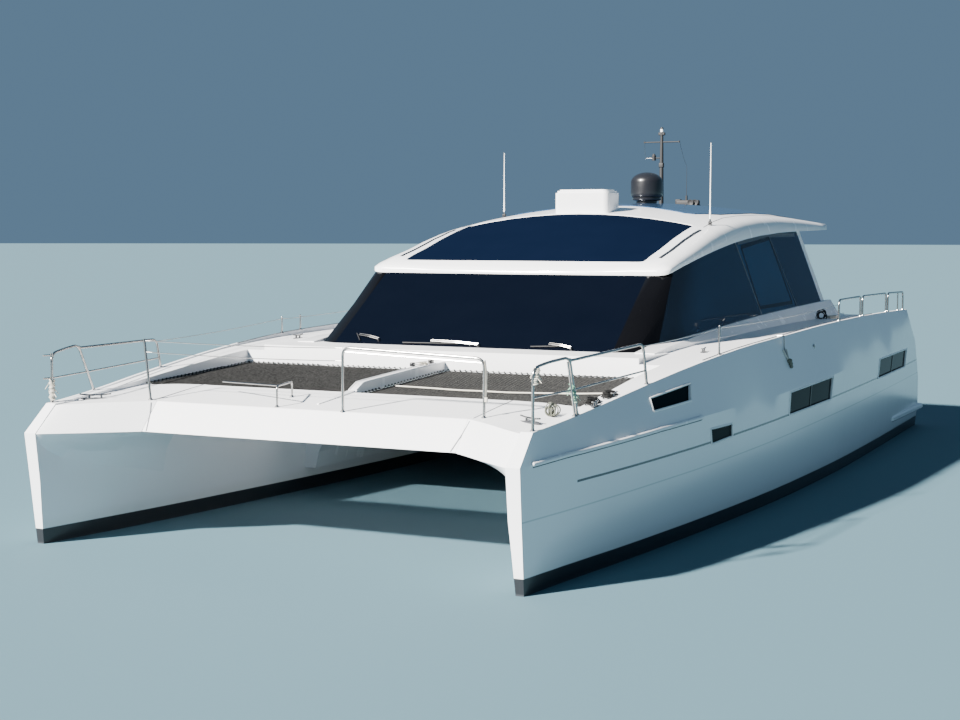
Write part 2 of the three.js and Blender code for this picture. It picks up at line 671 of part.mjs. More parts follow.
add("bridge_deck", bridgeDeck, "gelcoat");

// Bow beam, the spine behind it, and the rope nets on each side of the spine.
const beamEnd = BOW_FAIRING[0];
const beamOutline = [
  [beamEnd.foreLowX, BEAM.frontLowZ],
  [beamEnd.foreHighX, beamEnd.foreTopZ],
  [BEAM.aftX, beamEnd.aftTopZ],
  [BEAM.aftX, BEAM.aftLowZ],
  [beamEnd.foreLowX - BEAM.dipX, BEAM.dipZ],
];
const bowBeam = prism(beamOutline, "y", -BEAM_END_Y + SEAT_GAP, BEAM_END_Y - SEAT_GAP);
add("bow_beam", bowBeam, "gelcoat");

const spine = prism(
  [
    [BEAM.aftX - SEAT_GAP, SPINE.foreLowZ],
    [BEAM.aftX - SEAT_GAP, beamEnd.aftTopZ],
    [BEAM.aftX - 260, SPINE.foreTopZ],
    [CABIN_FRONT_X + SEAT_GAP, SPINE.aftTopZ],
    [CABIN_FRONT_X + SEAT_GAP, SPINE.aftLowZ],
  ],
  "y",
  -SPINE.halfWidth,
  SPINE.halfWidth,
);
add("net_spine", spine, "gelcoat");

const netSheet = slab(netXs, netYs, netTop, netUnder).intersect(prism(wellPlan(SEAT_GAP), "z", 1500, 3600));
addPair("net", netSheet, "net");

// Roof: one moulding over saloon and cockpit, open where the upper screen lies in it.
const roofTop = (x, y) => {
  const [crown, shoulder, edge] =
    ["crown", "shoulder", "edge"].map((column) => between(ROOF, "x", column, x));
  const out = Math.abs(y);
  if (out <= SHOULDER_Y) return crown + (shoulder - crown) * (out / SHOULDER_Y) ** 2;
  const lip = edge + 30;
  const turn = Math.min((out - SHOULDER_Y) / (ROOF_HALF_WIDTH - SHOULDER_Y), 1);
  return lip + (shoulder - lip) * Math.sqrt(1 - turn ** 2);
};
const roofUnder = (x, y) => {
  const [crown, edge] = ["crown", "edge"].map((column) => between(ROOF, "x", column, x));
  const rise = Math.max(crown - ROOF_THICKNESS - edge, 0);
  return edge + rise * Math.max(1 - (y / 2600) ** 2, 0);
};
const roofXs =
  [2430, 2300, 2180, 1800, 1300, 700, 100, -450, -1100, -1900, -2800, -4000, -5300, -6500, -7500, -8450];
const roofHalfYs = [0, 500, 1000, 1500, 2000, 2240, SHOULDER_Y, 2620, 2710, 2765, ROOF_HALF_WIDTH];
const ROOF_PLAN = { foreX: 2415, sideForeX: 2180, sideAftX: -7650, cornerX: -8330, aftX: -8445, edgeY: 2785 };
const roofPlan = new THREE.Shape();
roofPlan.moveTo(ROOF_PLAN.foreX, 0);
roofPlan.lineTo(ROOF_PLAN.foreX - 15, -2540);
roofPlan.quadraticCurveTo(ROOF_PLAN.foreX - 25, -ROOF_PLAN.edgeY, ROOF_PLAN.sideForeX, -ROOF_PLAN.edgeY);
roofPlan.lineTo(ROOF_PLAN.sideAftX, -ROOF_PLAN.edgeY);
roofPlan.quadraticCurveTo(ROOF_PLAN.cornerX + 50, -ROOF_PLAN.edgeY, ROOF_PLAN.cornerX, -2200);
roofPlan.lineTo(ROOF_PLAN.aftX, 0);
roofPlan.lineTo(ROOF_PLAN.cornerX, 2200);
roofPlan.quadraticCurveTo(ROOF_PLAN.cornerX + 50, ROOF_PLAN.edgeY, ROOF_PLAN.sideAftX, ROOF_PLAN.edgeY);
roofPlan.lineTo(ROOF_PLAN.sideForeX, ROOF_PLAN.edgeY);
roofPlan.quadraticCurveTo(ROOF_PLAN.foreX - 25, ROOF_PLAN.edgeY, ROOF_PLAN.foreX - 15, 2540);
roofPlan.closePath();
const roofBlank =
  evenSlab(roofXs, roofHalfYs, roofTop, roofUnder).intersect(prism(roofPlan, "z", 3000, 6000));
const glassPlan = (gap) =>
  roundedRectangle(
    UPPER_GLASS.aftX + gap,
    -UPPER_GLASS.halfWidth + gap,
    UPPER_GLASS.foreX - gap,
    UPPER_GLASS.halfWidth - gap,
    90,
  );
const roof = cut(roofBlank, prism(glassPlan(0), "z", 3000, 6000));
add("roof", roof, "gelcoat");
const paneXs = spread(UPPER_GLASS.aftX - 50, UPPER_GLASS.foreX + 50, 7);
const paneYs = spread(0, UPPER_GLASS.halfWidth + 50, 6);
const upperGlass = evenSlab(
  paneXs,
  paneYs,
  (x, y) => roofTop(x, y) - UPPER_GLASS.recess,
  (x, y) => roofTop(x, y) - UPPER_GLASS.recess - 40,
).intersect(prism(glassPlan(SEAT_GAP), "z", 3000, 6000));
add("upper_screen", upperGlass, "darkGlass");

const panelPlan = [...ROOF_PANEL_HALF.map(([x, y]) => [x, -y]).reverse(), ...ROOF_PANEL_HALF.slice(1)];
const roofPanel = evenSlab(
  [-7300, -6500, -5300, -4000, -2800, -1900, -1500],
  [0, 500, 1000, 1500, 2000, 2240],
  (x, y) => roofTop(x, y) + ROOF_PANEL_PROUD,
  (x, y) => roofTop(x, y) - 40,
).intersect(prism(panelPlan, "z", 3000, 6000));
add("roof_panel", seatedOn(roofPanel, roof), "bluePanel");

// Everything below the roof's underside, less the seating gap: walls and panes are cut to it.
const underRoofYs = [...roofHalfYs, 3100];
const underRoof = evenSlab(roofXs, underRoofYs, (x, y) => roofUnder(x, y) - SEAT_GAP, () => 1000);
const belowRoof = (part) =>
  part.intersect(joined(underRoof, block([2400, -3100, 1000], [5000, 3100, 3618 - SEAT_GAP])));

// Coaming under the side glass.
const coamingRing = (x) => {
  const topZ = along(COAMING, "x", "topZ", x);
  return [
    [x, COAMING_FOOT_Y, 2380],
    [x, COAMING_FOOT_Y - 10, Math.min(2560, topZ - 5)],
    [x, SIDE_GLASS_FOOT_Y + 8, topZ],
    [x, SIDE_GLASS_FOOT_Y - 90, topZ],
    [x, SIDE_GLASS_FOOT_Y - 90, 2380],
  ];
};
const coamingBlank = loft(COAMING.map(({ x }) => coamingRing(x)), [1, 2]);
const coaming = addPair("coaming", seatedOn(clearOfHulls(coamingBlank), bridgeDeck), "gelcoat");

// Glass: one raked front pane, a wrap at each corner and three panes a side.
const screenFoot = { x: 4110, z: 2485, y: 2490 };
const screenHead = { x: 2465, z: 3620, y: 2430 };
const screenAt = (z) =>
  screenFoot.x + ((screenHead.x - screenFoot.x) * (z - screenFoot.z)) / (screenHead.z - screenFoot.z);
const screenLow = 2420;
const screenY = (z) =>
  screenFoot.y + ((screenHead.y - screenFoot.y) * (z - screenFoot.z)) / (screenHead.z - screenFoot.z);
const frontRing = (side) =>
  [screenLow, screenHead.z].flatMap((z) => [[screenAt(z), side * (screenY(z) - SEAT_GAP), z]]).concat(
    [screenHead.z, screenLow].map((z) =>
      [screenAt(z) - GLASS_THICKNESS * 1.6, side * (screenY(z) - SEAT_GAP), z]),
  );
const windscreen = belowRoof(loft([frontRing(-1), frontRing(1)], [0, 2]));
add("windscreen", seatedOn(windscreen, bridgeDeck, ...hulls), "darkGlass");

const sideY = (z) => SIDE_GLASS_FOOT_Y - SIDE_GLASS_LEAN * (z - SIDE_GLASS_FOOT_Z);
const wrapRing = (z) => {
  const t = (z - screenFoot.z) / (screenHead.z - screenFoot.z);
  const middle = [3960 + (2385 - 3960) * t, 2790 + (2640 - 2790) * t];
  const aftX =
    SIDE_PANES[0].foreLow + ((SIDE_PANES[0].foreHigh - SIDE_PANES[0].foreLow) * (z - 2600)) / (3690 - 2600);
  const thick = GLASS_THICKNESS;
  return [
    [screenAt(z), screenY(z), z],
    [middle[0], middle[1], z],
    [aftX + SEAT_GAP, sideY(z), z],
    [aftX + SEAT_GAP, sideY(z) - thick, z],
    [middle[0] - thick * 1.1, middle[1] - thick * 0.7, z],
    [screenAt(z) - thick * 1.6, screenY(z), z],
  ];
};
const cornerWrap = belowRoof(loft([wrapRing(2420), wrapRing(3100), wrapRing(3700)], [0, 1]));
addPair("corner_glass", largestBody(seatedOn(cornerWrap, bridgeDeck, ...hulls, coaming)), "darkGlass");

const leaningSheet = (thickness) =>
  prism(
    [
      [sideY(2300), 2300],
      [sideY(4800), 4800],
      [sideY(4800) - thickness, 4800],
      [sideY(2300) - thickness, 2300],
    ],
    "x",
    -9000,
    5000,
  );
SIDE_PANES.forEach(({ name, foreLow, foreHigh, aftLow, aftHigh, tint }, i) => {
  const highZ = i === 0 ? 3690 : PANE_HIGH_Z;
  const edgeX = (low, high, top, z) => low + ((high - low) * (z - 2600)) / (top - 2600);
  const foreTop = i === 0 ? edgeX(foreLow, foreHigh, highZ, 4500) : edgeX(foreLow, foreHigh, 4350, 4500);
  const outline = [
    [edgeX(foreLow, foreHigh, i === 0 ? highZ : 4350, PANE_LOW_Z) - SEAT_GAP, PANE_LOW_Z],
    [foreTop - SEAT_GAP, 4500],
    [edgeX(aftLow, aftHigh, 4350, 4500) + SEAT_GAP, 4500],
    [edgeX(aftLow, aftHigh, 4350, PANE_LOW_Z) + SEAT_GAP, PANE_LOW_Z],
  ];
  const thickness = tint === "gelcoat" ? 80 : GLASS_THICKNESS;
  const pane = belowRoof(prism(outline, "y", 2400, 3100).intersect(leaningSheet(thickness)));
  addPair(name, seatedOn(pane, coaming, ...hulls), tint);
});

// Bulkhead between saloon and cockpit, with a sliding door on its aft face.
const bulkheadHalf = [
  [2690, SOLE_Z + SEAT_GAP],
  [2690, 2720],
  [2840, 2780],
  [sideY(4800) - GLASS_THICKNESS - 2, 4800],
];
const bulkheadOutline = [...bulkheadHalf, ...bulkheadHalf.map(([y, z]) => [-y, z]).reverse()];
const bulkheadWindow = (side) =>
  prism(roundedRectangle(Math.min(side * 1000, side * 2350), 2760, Math.max(side * 1000, side * 2350),
    3900, 80), "x", -5500, -5200);
const bulkhead = cut(
  belowRoof(prism(bulkheadOutline, "x", BULKHEAD_X - BULKHEAD_THICKNESS, BULKHEAD_X)),
  block([-5500, -DOOR_HALF_WIDTH, SOLE_Z + 20], [-5200, DOOR_HALF_WIDTH, DOOR_TOP_Z]),
  bulkheadWindow(1),
  bulkheadWindow(-1),
);
add("aft_bulkhead", bulkhead, "gelcoat");
const aftPane = prism(
  roundedRectangle(1000 + SEAT_GAP, 2760 + SEAT_GAP, 2350 - SEAT_GAP, 3900 - SEAT_GAP, 80),
  "x",
  BULKHEAD_X - 45,
  BULKHEAD_X - 15,
);
addPair("aft_window", aftPane, "sideGlass");

const DOOR = { thickness: 40, overlap: 60, gap: 6, runnerY: 600, runnerHalf: 45, runnerGap: 0.5 };
const doorAftX = BULKHEAD_X - BULKHEAD_THICKNESS - DOOR.gap - DOOR.thickness;
const doorRunner = (y) =>
  block([doorAftX + 8, y - DOOR.runnerHalf, SOLE_Z + DOOR.runnerGap],
    [doorAftX + 32, y + DOOR.runnerHalf, SOLE_Z + 8]);
const door = joined(
  block(
    [doorAftX, -DOOR_HALF_WIDTH - DOOR.overlap, SOLE_Z + 5.5],
    [doorAftX + DOOR.thickness, DOOR_HALF_WIDTH + DOOR.overlap, DOOR_TOP_Z + DOOR.overlap],
  ),
  doorRunner(-DOOR.runnerY),
  doorRunner(DOOR.runnerY),
);
add("sliding_door", door, "sideGlass");
const doorTrack = block(
  [doorAftX - 30, -DOOR_HALF_WIDTH - DOOR.overlap - 10, DOOR_TOP_Z + DOOR.overlap + 5.5],
  [BULKHEAD_X - BULKHEAD_THICKNESS - SEAT_GAP, 2500, DOOR_TOP_Z + DOOR.overlap + 60],
);
add("door_track", doorTrack, "gelcoat");

// Saloon and cockpit furniture.
const onSole = SOLE_Z + SEAT_GAP;
const HELM = { y: 1100, wheelX: 2360, wheelZ: 2760, wheelRadius: 190, rake: 0.45 };
const helmDesk =
  prism([[3350, onSole], [3350, 2780], [2950, 2960], [2450, 2700], [2450, 2500], [2650, onSole]], "y",
  450, 1750);
const wheelAxis = new THREE.Vector3(-Math.cos(HELM.rake), 0, Math.sin(HELM.rake));
const wheelCentre = new THREE.Vector3(HELM.wheelX, HELM.y, HELM.wheelZ);
const onWheelAxis = (distance) => wheelCentre.clone().addScaledVector(wheelAxis, distance).toArray();
const columnTube = bar(onWheelAxis(-260), onWheelAxis(-30), 34, undefined, 12);
add("helm_console", joined(helmDesk, columnTube), "gelcoat");
const rim = new THREE.TorusGeometry(HELM.wheelRadius, 15, 6, 20);
const wheelParts = new THREE.Quaternion().setFromUnitVectors(new THREE.Vector3(0, 0, 1), wheelAxis);
const turnWheel = (geometry) =>
  solid(geometry.applyQuaternion(wheelParts).translate(...wheelCentre.toArray()));
const spokes = spread(0, 240, 3).map((angle) => {
  const reach = new THREE.BoxGeometry(HELM.wheelRadius - 4, 34, 12).translate(HELM.wheelRadius / 2, 0, 0);
  return turnWheel(reach.rotateZ((angle * Math.PI) / 180));
});
const hub = bar(onWheelAxis(-30 + SEAT_GAP), onWheelAxis(14), 45, undefined, 12);
add("helm_wheel", joined(turnWheel(rim), ...spokes, hub), "blackPlastic");

const seatBase = block([1350, 880, onSole], [1750, 1320, 2400]);
add("helm_seat",
  joined(seatBase, block([1250, 800, 2390], [1850, 1400, 2520]),
  block([1200, 820, 2500], [1330, 1380, 3120])), "cushion");
add(
  "saloon_sofa",
  joined(block([-4900, 1500, onSole], [-1300, 2600, 2400]), block([-4900, 2420, 2390], [-1300, 2640, 2780])),
  "cushion",
);
add("saloon_table",
  joined(block([-3700, 450, 2640], [-2100, 1350, 2690]),
  bar([-2900, 900, onSole], [-2900, 900, 2650], 60)), "joinery");
add("galley", block([-4700, -2640, onSole], [-900, -1950, 2870]), "joinery");
add(
  "cockpit_bench",
  joined(block([-8250, -1900, onSole], [-7550, 1900, 2400]),
    block([-8280, -1900, 2390], [-8120, 1900, 2760])),
  "cushion",
);

// Roof gear.
const ROOF_BOX =
  { aftX: -1160, foreX: -540, starboardY: -540, portY: 545, lowZ: 4673, topZ: 5130, corner: 110 };
const boxPlan = (inset) =>
  roundedRectangle(
    ROOF_BOX.aftX + inset,
    ROOF_BOX.starboardY + inset,
    ROOF_BOX.foreX - inset,
    ROOF_BOX.portY - inset,
    ROOF_BOX.corner,
  );
const roofBox = joined(
  prism(boxPlan(0), "z", ROOF_BOX.lowZ, ROOF_BOX.topZ - 60),
  prism(boxPlan(25), "z", ROOF_BOX.lowZ, ROOF_BOX.topZ - 22),
  prism(boxPlan(60), "z", ROOF_BOX.lowZ, ROOF_BOX.topZ),
);
add("roof_box", seatedOn(roofBox, roofBlank), "gelcoat");

const DOME = { x: -3950, y: 30 };
const domeProfile = [
  [0, -60],
  [215, -60],
  [215, 40],
  [285, 60],
  [312, 120],
  [325, 190],
  [325, 430],
  [312, 500],
  [262, 570],
  [165, 618],
  [0, 638],
].map(([r, z]) => new THREE.Vector2(r, z));
const dome =
  solid(new THREE.LatheGeometry(domeProfile, 20).rotateX(Math.PI / 2).translate(DOME.x, DOME.y,
  roofTop(DOME.x, DOME.y)));
const topOfRoof = joined(roofBlank, seatedOn(roofPanel, roofBlank));
add("satellite_dome", seatedOn(dome, topOfRoof), "blackPlastic");

const MAST = { x: -4900, topZ: 6540, crossZ: 6230, crossHalf: 390, radius: 42 };
const mast = joined(
  bar([MAST.x, 0, roofTop(MAST.x, 0) - 60], [MAST.x, 0, 6100], 55, 38),
  bar([MAST.x, 0, 6090], [MAST.x, 0, MAST.topZ], 38, 30),
  bar([MAST.x, -MAST.crossHalf, MAST.crossZ], [MAST.x, MAST.crossHalf, MAST.crossZ], 16),
  bar([MAST.x, -60, MAST.topZ - 150], [MAST.x, 60, MAST.topZ - 150], 40),
  bar([MAST.x, -200, 5900], [MAST.x, 0, 5900], 14),
  bar([MAST.x, -170, 5850], [MAST.x, -170, 5990], 45),
);
add("nav_mast", seatedOn(mast, topOfRoof), "blackPlastic");

const WHIPS = [
  { name: "whip_antenna_port", x: -774, y: 2425, topZ: 5940 },
  { name: "whip_antenna_starboard", x: -1750, y: -2140, topZ: 5900 },
];
const whip = ({ x, y, topZ }) => joined(
  bar([x, y, roofTop(x, y) - 60], [x, y, roofTop(x, y) + 110], 38),
  bar([x, y, roofTop(x, y) + 60], [x, y, topZ], 14, 9),
);
WHIPS.forEach((row) => add(row.name, seatedOn(whip(row), topOfRoof), "gelcoat"));

// Horns and a lamp on a low bracket aft of the mast, with a thin aerial.
const HORNS = { x: -6700, z: 4990, tubeY: 90, length: 380, mouth: 70 };
const hornsFoot = roofTop(HORNS.x, 0);
const horns = joined(
  block([HORNS.x - 60, -330, HORNS.z - 70], [HORNS.x + 60, 250, HORNS.z - 20]),
  block([HORNS.x - 50, -60, hornsFoot - 40], [HORNS.x + 50, 0, HORNS.z - 60]),
  block([HORNS.x - 90, -330, HORNS.z - 30], [HORNS.x + 20, -190, HORNS.z + 100]),
  bar([HORNS.x - 120, HORNS.tubeY, HORNS.z + 10], [HORNS.x + 200, HORNS.tubeY, HORNS.z + 10], 32,
    HORNS.mouth, 12),
  bar([HORNS.x - 120, 2 * HORNS.tubeY, HORNS.z + 20], [HORNS.x + 160, 2 * HORNS.tubeY, HORNS.z + 20], 32,
    HORNS.mouth, 12),
  bar([HORNS.x, -65, HORNS.z - 60], [HORNS.x, -65, HORNS.z + 180], 26),
  bar([HORNS.x, -65, HORNS.z + 150], [HORNS.x, -65, 5810], 8, 5),
);
add("roof_horns", seatedOn(horns, topOfRoof), "blackPlastic");

// Rails. A post stands in the deck and is trimmed to it.
const POST_SINK = 60;
// Pulpits: feet and tops from the bow aft, for each side, and the heights where the middle bar meets the
// legs.
const PULPITS = [
  {
    name: "pulpit_port",
    side: 1,
    front: { x: 9680, y: 3680, deckZ: 1940, topZ: 2695 },
    shoulder: { x: 9400, y: 3755, topZ: 2750 },
    corner: { x: 8950, y: 3840, topZ: 2786 },
    leg: { x: 8600, y: 3800, deckZ: 2050 },
    aft: { x: 6600, y: 3920, topZ: 2811, footX: 6590, footY: 3975, deckZ: 2270 },
    middle: [2339, 2367, 2450],
  },
  {
    name: "pulpit_starboard",
    side: -1,
    front: { x: 9680, y: 3690, deckZ: 1940, topZ: 2620 },
    shoulder: { x: 9350, y: 3750, topZ: 2665 },
    corner: { x: 8980, y: 3810, topZ: 2700 },
    leg: { x: 8680, y: 3795, deckZ: 2050 },
    aft: { x: 7010, y: 3940, topZ: 2665, footX: 6905, footY: 3950, deckZ: 2210 },
    middle: [2280, 2300, 2370],
  },
];
const AFT_BAR_DROP = 45; // of the aft bar's fore end below the middle leg's top
const onLeg = (top, foot, z) =>
  top.map((value, i) => value + ((foot[i] - value) * (z - top[2])) / (foot[2] - top[2]));
PULPITS.forEach(({ name, side, front, shoulder, corner, leg, aft, middle }) => {
  const frontTop = [front.x, side * front.y, front.topZ];
  const frontFoot = [front.x, side * front.y, front.deckZ - POST_SINK];
  const cornerTop = [corner.x, side * corner.y, corner.topZ];
  const legFoot = [leg.x, side * leg.y, leg.deckZ - POST_SINK];
  const aftTop = [aft.x, side * aft.y, aft.topZ];
  const aftFoot = [aft.footX, side * aft.footY, aft.deckZ - POST_SINK];
  const frontLoop =
    tube([frontFoot, frontTop, [shoulder.x, side * shoulder.y, shoulder.topZ], cornerTop, legFoot]);
  const aftStart = onLeg(cornerTop, legFoot, corner.topZ - AFT_BAR_DROP);
  const aftBar = tube([aftStart, aftTop, aftFoot]);
  const middleEnds =
    [onLeg(frontTop, frontFoot, middle[0]), onLeg(cornerTop, legFoot, middle[1]),
    onLeg(aftTop, aftFoot, middle[2])];
  const middleBars = [0, 1].map((i) => bar(middleEnds[i], middleEnds[i + 1], 12));
  add(name, seatedOn(joined(frontLoop, aftBar, ...middleBars), hulls[(1 - side) / 2]), "steel");
});

// On the beam: a gate rail to port, one post to starboard and a low handrail beside the spine.
const GATE =
  { x: 8940, outerX: 8900, innerY: 590, outerY: 2650, footZ: 1950, innerTopZ: 2800, outerTopZ: 2720 };
const gate = tube([
  [GATE.x, GATE.innerY, GATE.footZ - POST_SINK],
  [GATE.x, GATE.innerY, GATE.innerTopZ],
  [GATE.outerX, GATE.outerY, GATE.outerTopZ],
  [GATE.outerX, GATE.outerY, GATE.footZ - POST_SINK],
]);
add("bow_gate_rail", seatedOn(gate, bowBeam, hull), "steel");
const GATE_POST = { x: 8930, footY: -2560, topY: -2665, footZ: 1950, topZ: 2805 };
const gatePost =
  bar([GATE_POST.x, GATE_POST.footY, GATE_POST.footZ - POST_SINK],
  [GATE_POST.x, GATE_POST.topY, GATE_POST.topZ], 18);
add("gate_post", seatedOn(gatePost, bowBeam, hulls[1]), "steel");
const LOW_RAIL =
  { foreX: 8900, aftX: 8250, foreY: -470, aftY: -650, footZ: 1980, topZ: 2240, endX: 8300, endY: -1780,
  endZ: 2200 };
const lowRail = joined(
  tube(
    [
      [LOW_RAIL.foreX, LOW_RAIL.foreY, LOW_RAIL.footZ - POST_SINK - 40],
      [LOW_RAIL.foreX, LOW_RAIL.foreY, LOW_RAIL.topZ],
      [LOW_RAIL.aftX, LOW_RAIL.aftY, LOW_RAIL.topZ],
      [LOW_RAIL.aftX, LOW_RAIL.aftY, LOW_RAIL.footZ - POST_SINK],
    ],
    14,
    60,
  ),
  bar([LOW_RAIL.foreX - 60, LOW_RAIL.foreY - 15, LOW_RAIL.topZ],
    [LOW_RAIL.endX, LOW_RAIL.endY, LOW_RAIL.endZ], 11),
);
add("low_rail", seatedOn(lowRail, bowBeam), "steel");

// Side rails aft: three hoops in a row that share foot plates on the raised edge of each side deck.
const AFT_RAIL =
  { inboard: 32, rise: 385, hoops: [[-2700, -4340], [-4520, -6560], [-6740, -8270]], postX: -7740 };
const FOOT_PLATE = { reach: 45, halfWidth: 24, rise: 12 };
const railPoint = (x, rise) => [x, sheerAt(x).y - AFT_RAIL.inboard, sheerAt(x).z + rise];
const hoop = ([foreX, aftX]) =>
  tube([
    railPoint(foreX, -POST_SINK),
    railPoint(foreX, AFT_RAIL.rise),
    railPoint(aftX, AFT_RAIL.rise),
    railPoint(aftX, -POST_SINK),
  ]);
const footPlate = (foreX, aftX) => {
  const { y, z } = sheerAt((foreX + aftX) / 2);
  const middleY = y - AFT_RAIL.inboard;
  return block(
    [aftX - FOOT_PLATE.reach, middleY - FOOT_PLATE.halfWidth, z - POST_SINK],
    [foreX + FOOT_PLATE.reach, middleY + FOOT_PLATE.halfWidth, z + FOOT_PLATE.rise],
  );
};
const aftRail = joined(
  ...AFT_RAIL.hoops.map(hoop),
  ...[0, 1].map((i) => footPlate(AFT_RAIL.hoops[i][1], AFT_RAIL.hoops[i + 1][0])),
  bar(railPoint(AFT_RAIL.postX, -POST_SINK), railPoint(AFT_RAIL.postX, AFT_RAIL.rise), RAIL_RADIUS),
);
addPair("aft_rail", seatedOn(aftRail, hull), "steel");

// Single posts for the guard wires: one to port, two to starboard.
const STANCHIONS = [
  { name: "stanchion_port", side: 1, x: 3970, topZ: 2950 },
  { name: "stanchion_starboard_fore", side: -1, x: 3100, topZ: 2845 },
  { name: "stanchion_starboard_aft", side: -1, x: 2470, topZ: 2850 },
];
const STANCHION_INBOARD = 45;
STANCHIONS.forEach(({ name, side, x, topZ }) => {
  const edge = sheerAt(x);
  const y = side * (edge.y - STANCHION_INBOARD);
  const stanchion = bar([x, y, edge.z - POST_SINK], [x, y, topZ], RAIL_RADIUS);
  add(name, seatedOn(stanchion, hulls[(1 - side) / 2]), "steel");
});

// Running gear.
const shaft = bar(alongShaft(0), alongShaft(shaftLength), SHAFT.radius, undefined, 24);
addPair("propeller_shaft", shaft, "steel");
const strutAt = shaftLength - 230;
const strutBoss = bar(alongShaft(strutAt - 110), alongShaft(strutAt + 110), 62, undefined, 16);
const strutBlade = prism(
  [
    [alongShaft(strutAt)[0] + 90, alongShaft(strutAt)[2]],
    [alongShaft(strutAt)[0] - 70, alongShaft(strutAt)[2]],
    [alongShaft(strutAt)[0] - 60, -480],
    [alongShaft(strutAt)[0] + 120, -480],
  ],
  "y",
  HULL_Y - 16,
  HULL_Y + 16,
);
const strut = cut(joined(strutBoss, strutBlade), shaftBore, moved(hull, 0, 0, -SEAT_GAP));
addPair("shaft_strut", strut, "bronze");

const shaftTurn =
  new THREE.Quaternion().setFromUnitVectors(new THREE.Vector3(0, 0, 1), shaftLine.clone().normalize());
const bladeShape = new THREE.Shape();
bladeShape.moveTo(-52, 20);
bladeShape.bezierCurveTo(-150, 130, -135, 270, -10, PROPELLER.radius);
bladeShape.bezierCurveTo(120, 270, 110, 120, 48, 20);
bladeShape.closePath();
const bladeAt = (index) => {
  const geometry =
    new THREE.ExtrudeGeometry(bladeShape, { depth: 16, bevelEnabled: false, curveSegments: 6 });
  geometry.translate(0, 0, -8).rotateY(0.62).translate(0, 0, PROPELLER.hubLength / 2);
  geometry.rotateZ((2 * Math.PI * index) / PROPELLER.blades);
  return solid(geometry.applyQuaternion(shaftTurn).translate(...alongShaft(shaftLength + SEAT_GAP)));
};
const hubEnd = shaftLength + SEAT_GAP + PROPELLER.hubLength;
const propeller = joined(
  bar(alongShaft(shaftLength + SEAT_GAP), alongShaft(hubEnd), PROPELLER.hubRadius, 50, 20),
  bar(alongShaft(hubEnd - 1), alongShaft(hubEnd + 70), 50, 14, 20),
  ...Array.from({ length: PROPELLER.blades }, (_, index) => bladeAt(index)),
);
addPair("propeller", propeller, "bronze");

const rudderOutline = new THREE.Shape();
rudderOutline.moveTo(RUDDER.x - RUDDER.aftChord, HULL_Y);
rudderOutline.quadraticCurveTo(RUDDER.x, HULL_Y - 1.5 * RUDDER.halfThickness,
  RUDDER.x + RUDDER.foreChord, HULL_Y);
rudderOutline.quadraticCurveTo(RUDDER.x, HULL_Y + 1.5 * RUDDER.halfThickness, RUDDER.x - RUDDER.aftChord,
  HULL_Y);
const rudderTrim = prism(
  [
    [RUDDER.x + 170, RUDDER.topZ],
    [RUDDER.x - 390, RUDDER.topZ],
    [RUDDER.x - 330, RUDDER.bottomZ],
    [RUDDER.x + 60, RUDDER.bottomZ],
  ],
  "y",
  HULL_Y - 100,
  HULL_Y + 100,
);
const rudder = joined(
  prism(rudderOutline, "z", RUDDER.bottomZ, RUDDER.topZ).intersect(rudderTrim),
  bar([RUDDER.x, HULL_Y, RUDDER.topZ - 300], [RUDDER.x, HULL_Y, RUDDER.topZ + 300], RUDDER.stockRadius,
    undefined, 24),
);
addPair("rudder", rudder, "gelcoat");

export default boat;
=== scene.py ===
"""The looks of a 20 m power catamaran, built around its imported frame.

Lengths are metres. +X points at the bows, +Y to port and +Z up, with the origin on the waterline amidships.
"""

from __future__ import annotations

import json
import logging
import math
from dataclasses import dataclass, field
from enum import Enum
from typing import Callable, Iterable, Sequence

import bmesh
import bpy
from mathutils import Matrix, Vector
from mathutils.bvhtree import BVHTree

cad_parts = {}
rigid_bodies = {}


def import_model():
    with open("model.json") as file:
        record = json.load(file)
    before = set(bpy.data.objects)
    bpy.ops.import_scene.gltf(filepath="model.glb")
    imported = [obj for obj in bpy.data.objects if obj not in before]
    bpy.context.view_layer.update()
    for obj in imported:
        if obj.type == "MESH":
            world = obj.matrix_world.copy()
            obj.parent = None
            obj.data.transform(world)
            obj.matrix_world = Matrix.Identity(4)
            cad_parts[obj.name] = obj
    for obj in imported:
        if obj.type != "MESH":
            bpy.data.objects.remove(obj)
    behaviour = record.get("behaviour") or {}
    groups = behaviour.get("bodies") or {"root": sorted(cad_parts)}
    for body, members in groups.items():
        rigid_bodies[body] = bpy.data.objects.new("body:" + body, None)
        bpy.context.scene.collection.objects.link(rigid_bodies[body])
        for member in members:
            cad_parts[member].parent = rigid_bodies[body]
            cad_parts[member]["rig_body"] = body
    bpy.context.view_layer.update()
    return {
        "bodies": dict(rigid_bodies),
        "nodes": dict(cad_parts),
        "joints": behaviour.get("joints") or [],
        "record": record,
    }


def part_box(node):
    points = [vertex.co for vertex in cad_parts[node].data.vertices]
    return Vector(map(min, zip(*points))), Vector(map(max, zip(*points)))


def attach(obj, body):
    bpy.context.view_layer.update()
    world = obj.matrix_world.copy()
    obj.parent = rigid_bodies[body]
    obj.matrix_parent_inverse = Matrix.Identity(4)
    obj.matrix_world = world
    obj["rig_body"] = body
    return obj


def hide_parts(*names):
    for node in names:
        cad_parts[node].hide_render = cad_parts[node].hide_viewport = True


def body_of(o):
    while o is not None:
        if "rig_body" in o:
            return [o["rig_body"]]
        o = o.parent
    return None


log = logging.getLogger("catamaran")

Colour = tuple[float, float, float]
Point = Sequence[float]

HULL_Y = 3.635
RAIL_RADIUS = 0.0190
SOLE_Z = 1.95
SIDES = {"port": 1, "starboard": -1}
DECKS = ("hull_port", "hull_starboard", "bow_beam", "bridge_deck")
DECK_SEARCH = 2.9
TOE_SEARCH = 3.2
SAME_PLACE = 1e-5
BEND_LIMIT = 0.48
OFF_WHITE = (0.70, 0.705, 0.715)


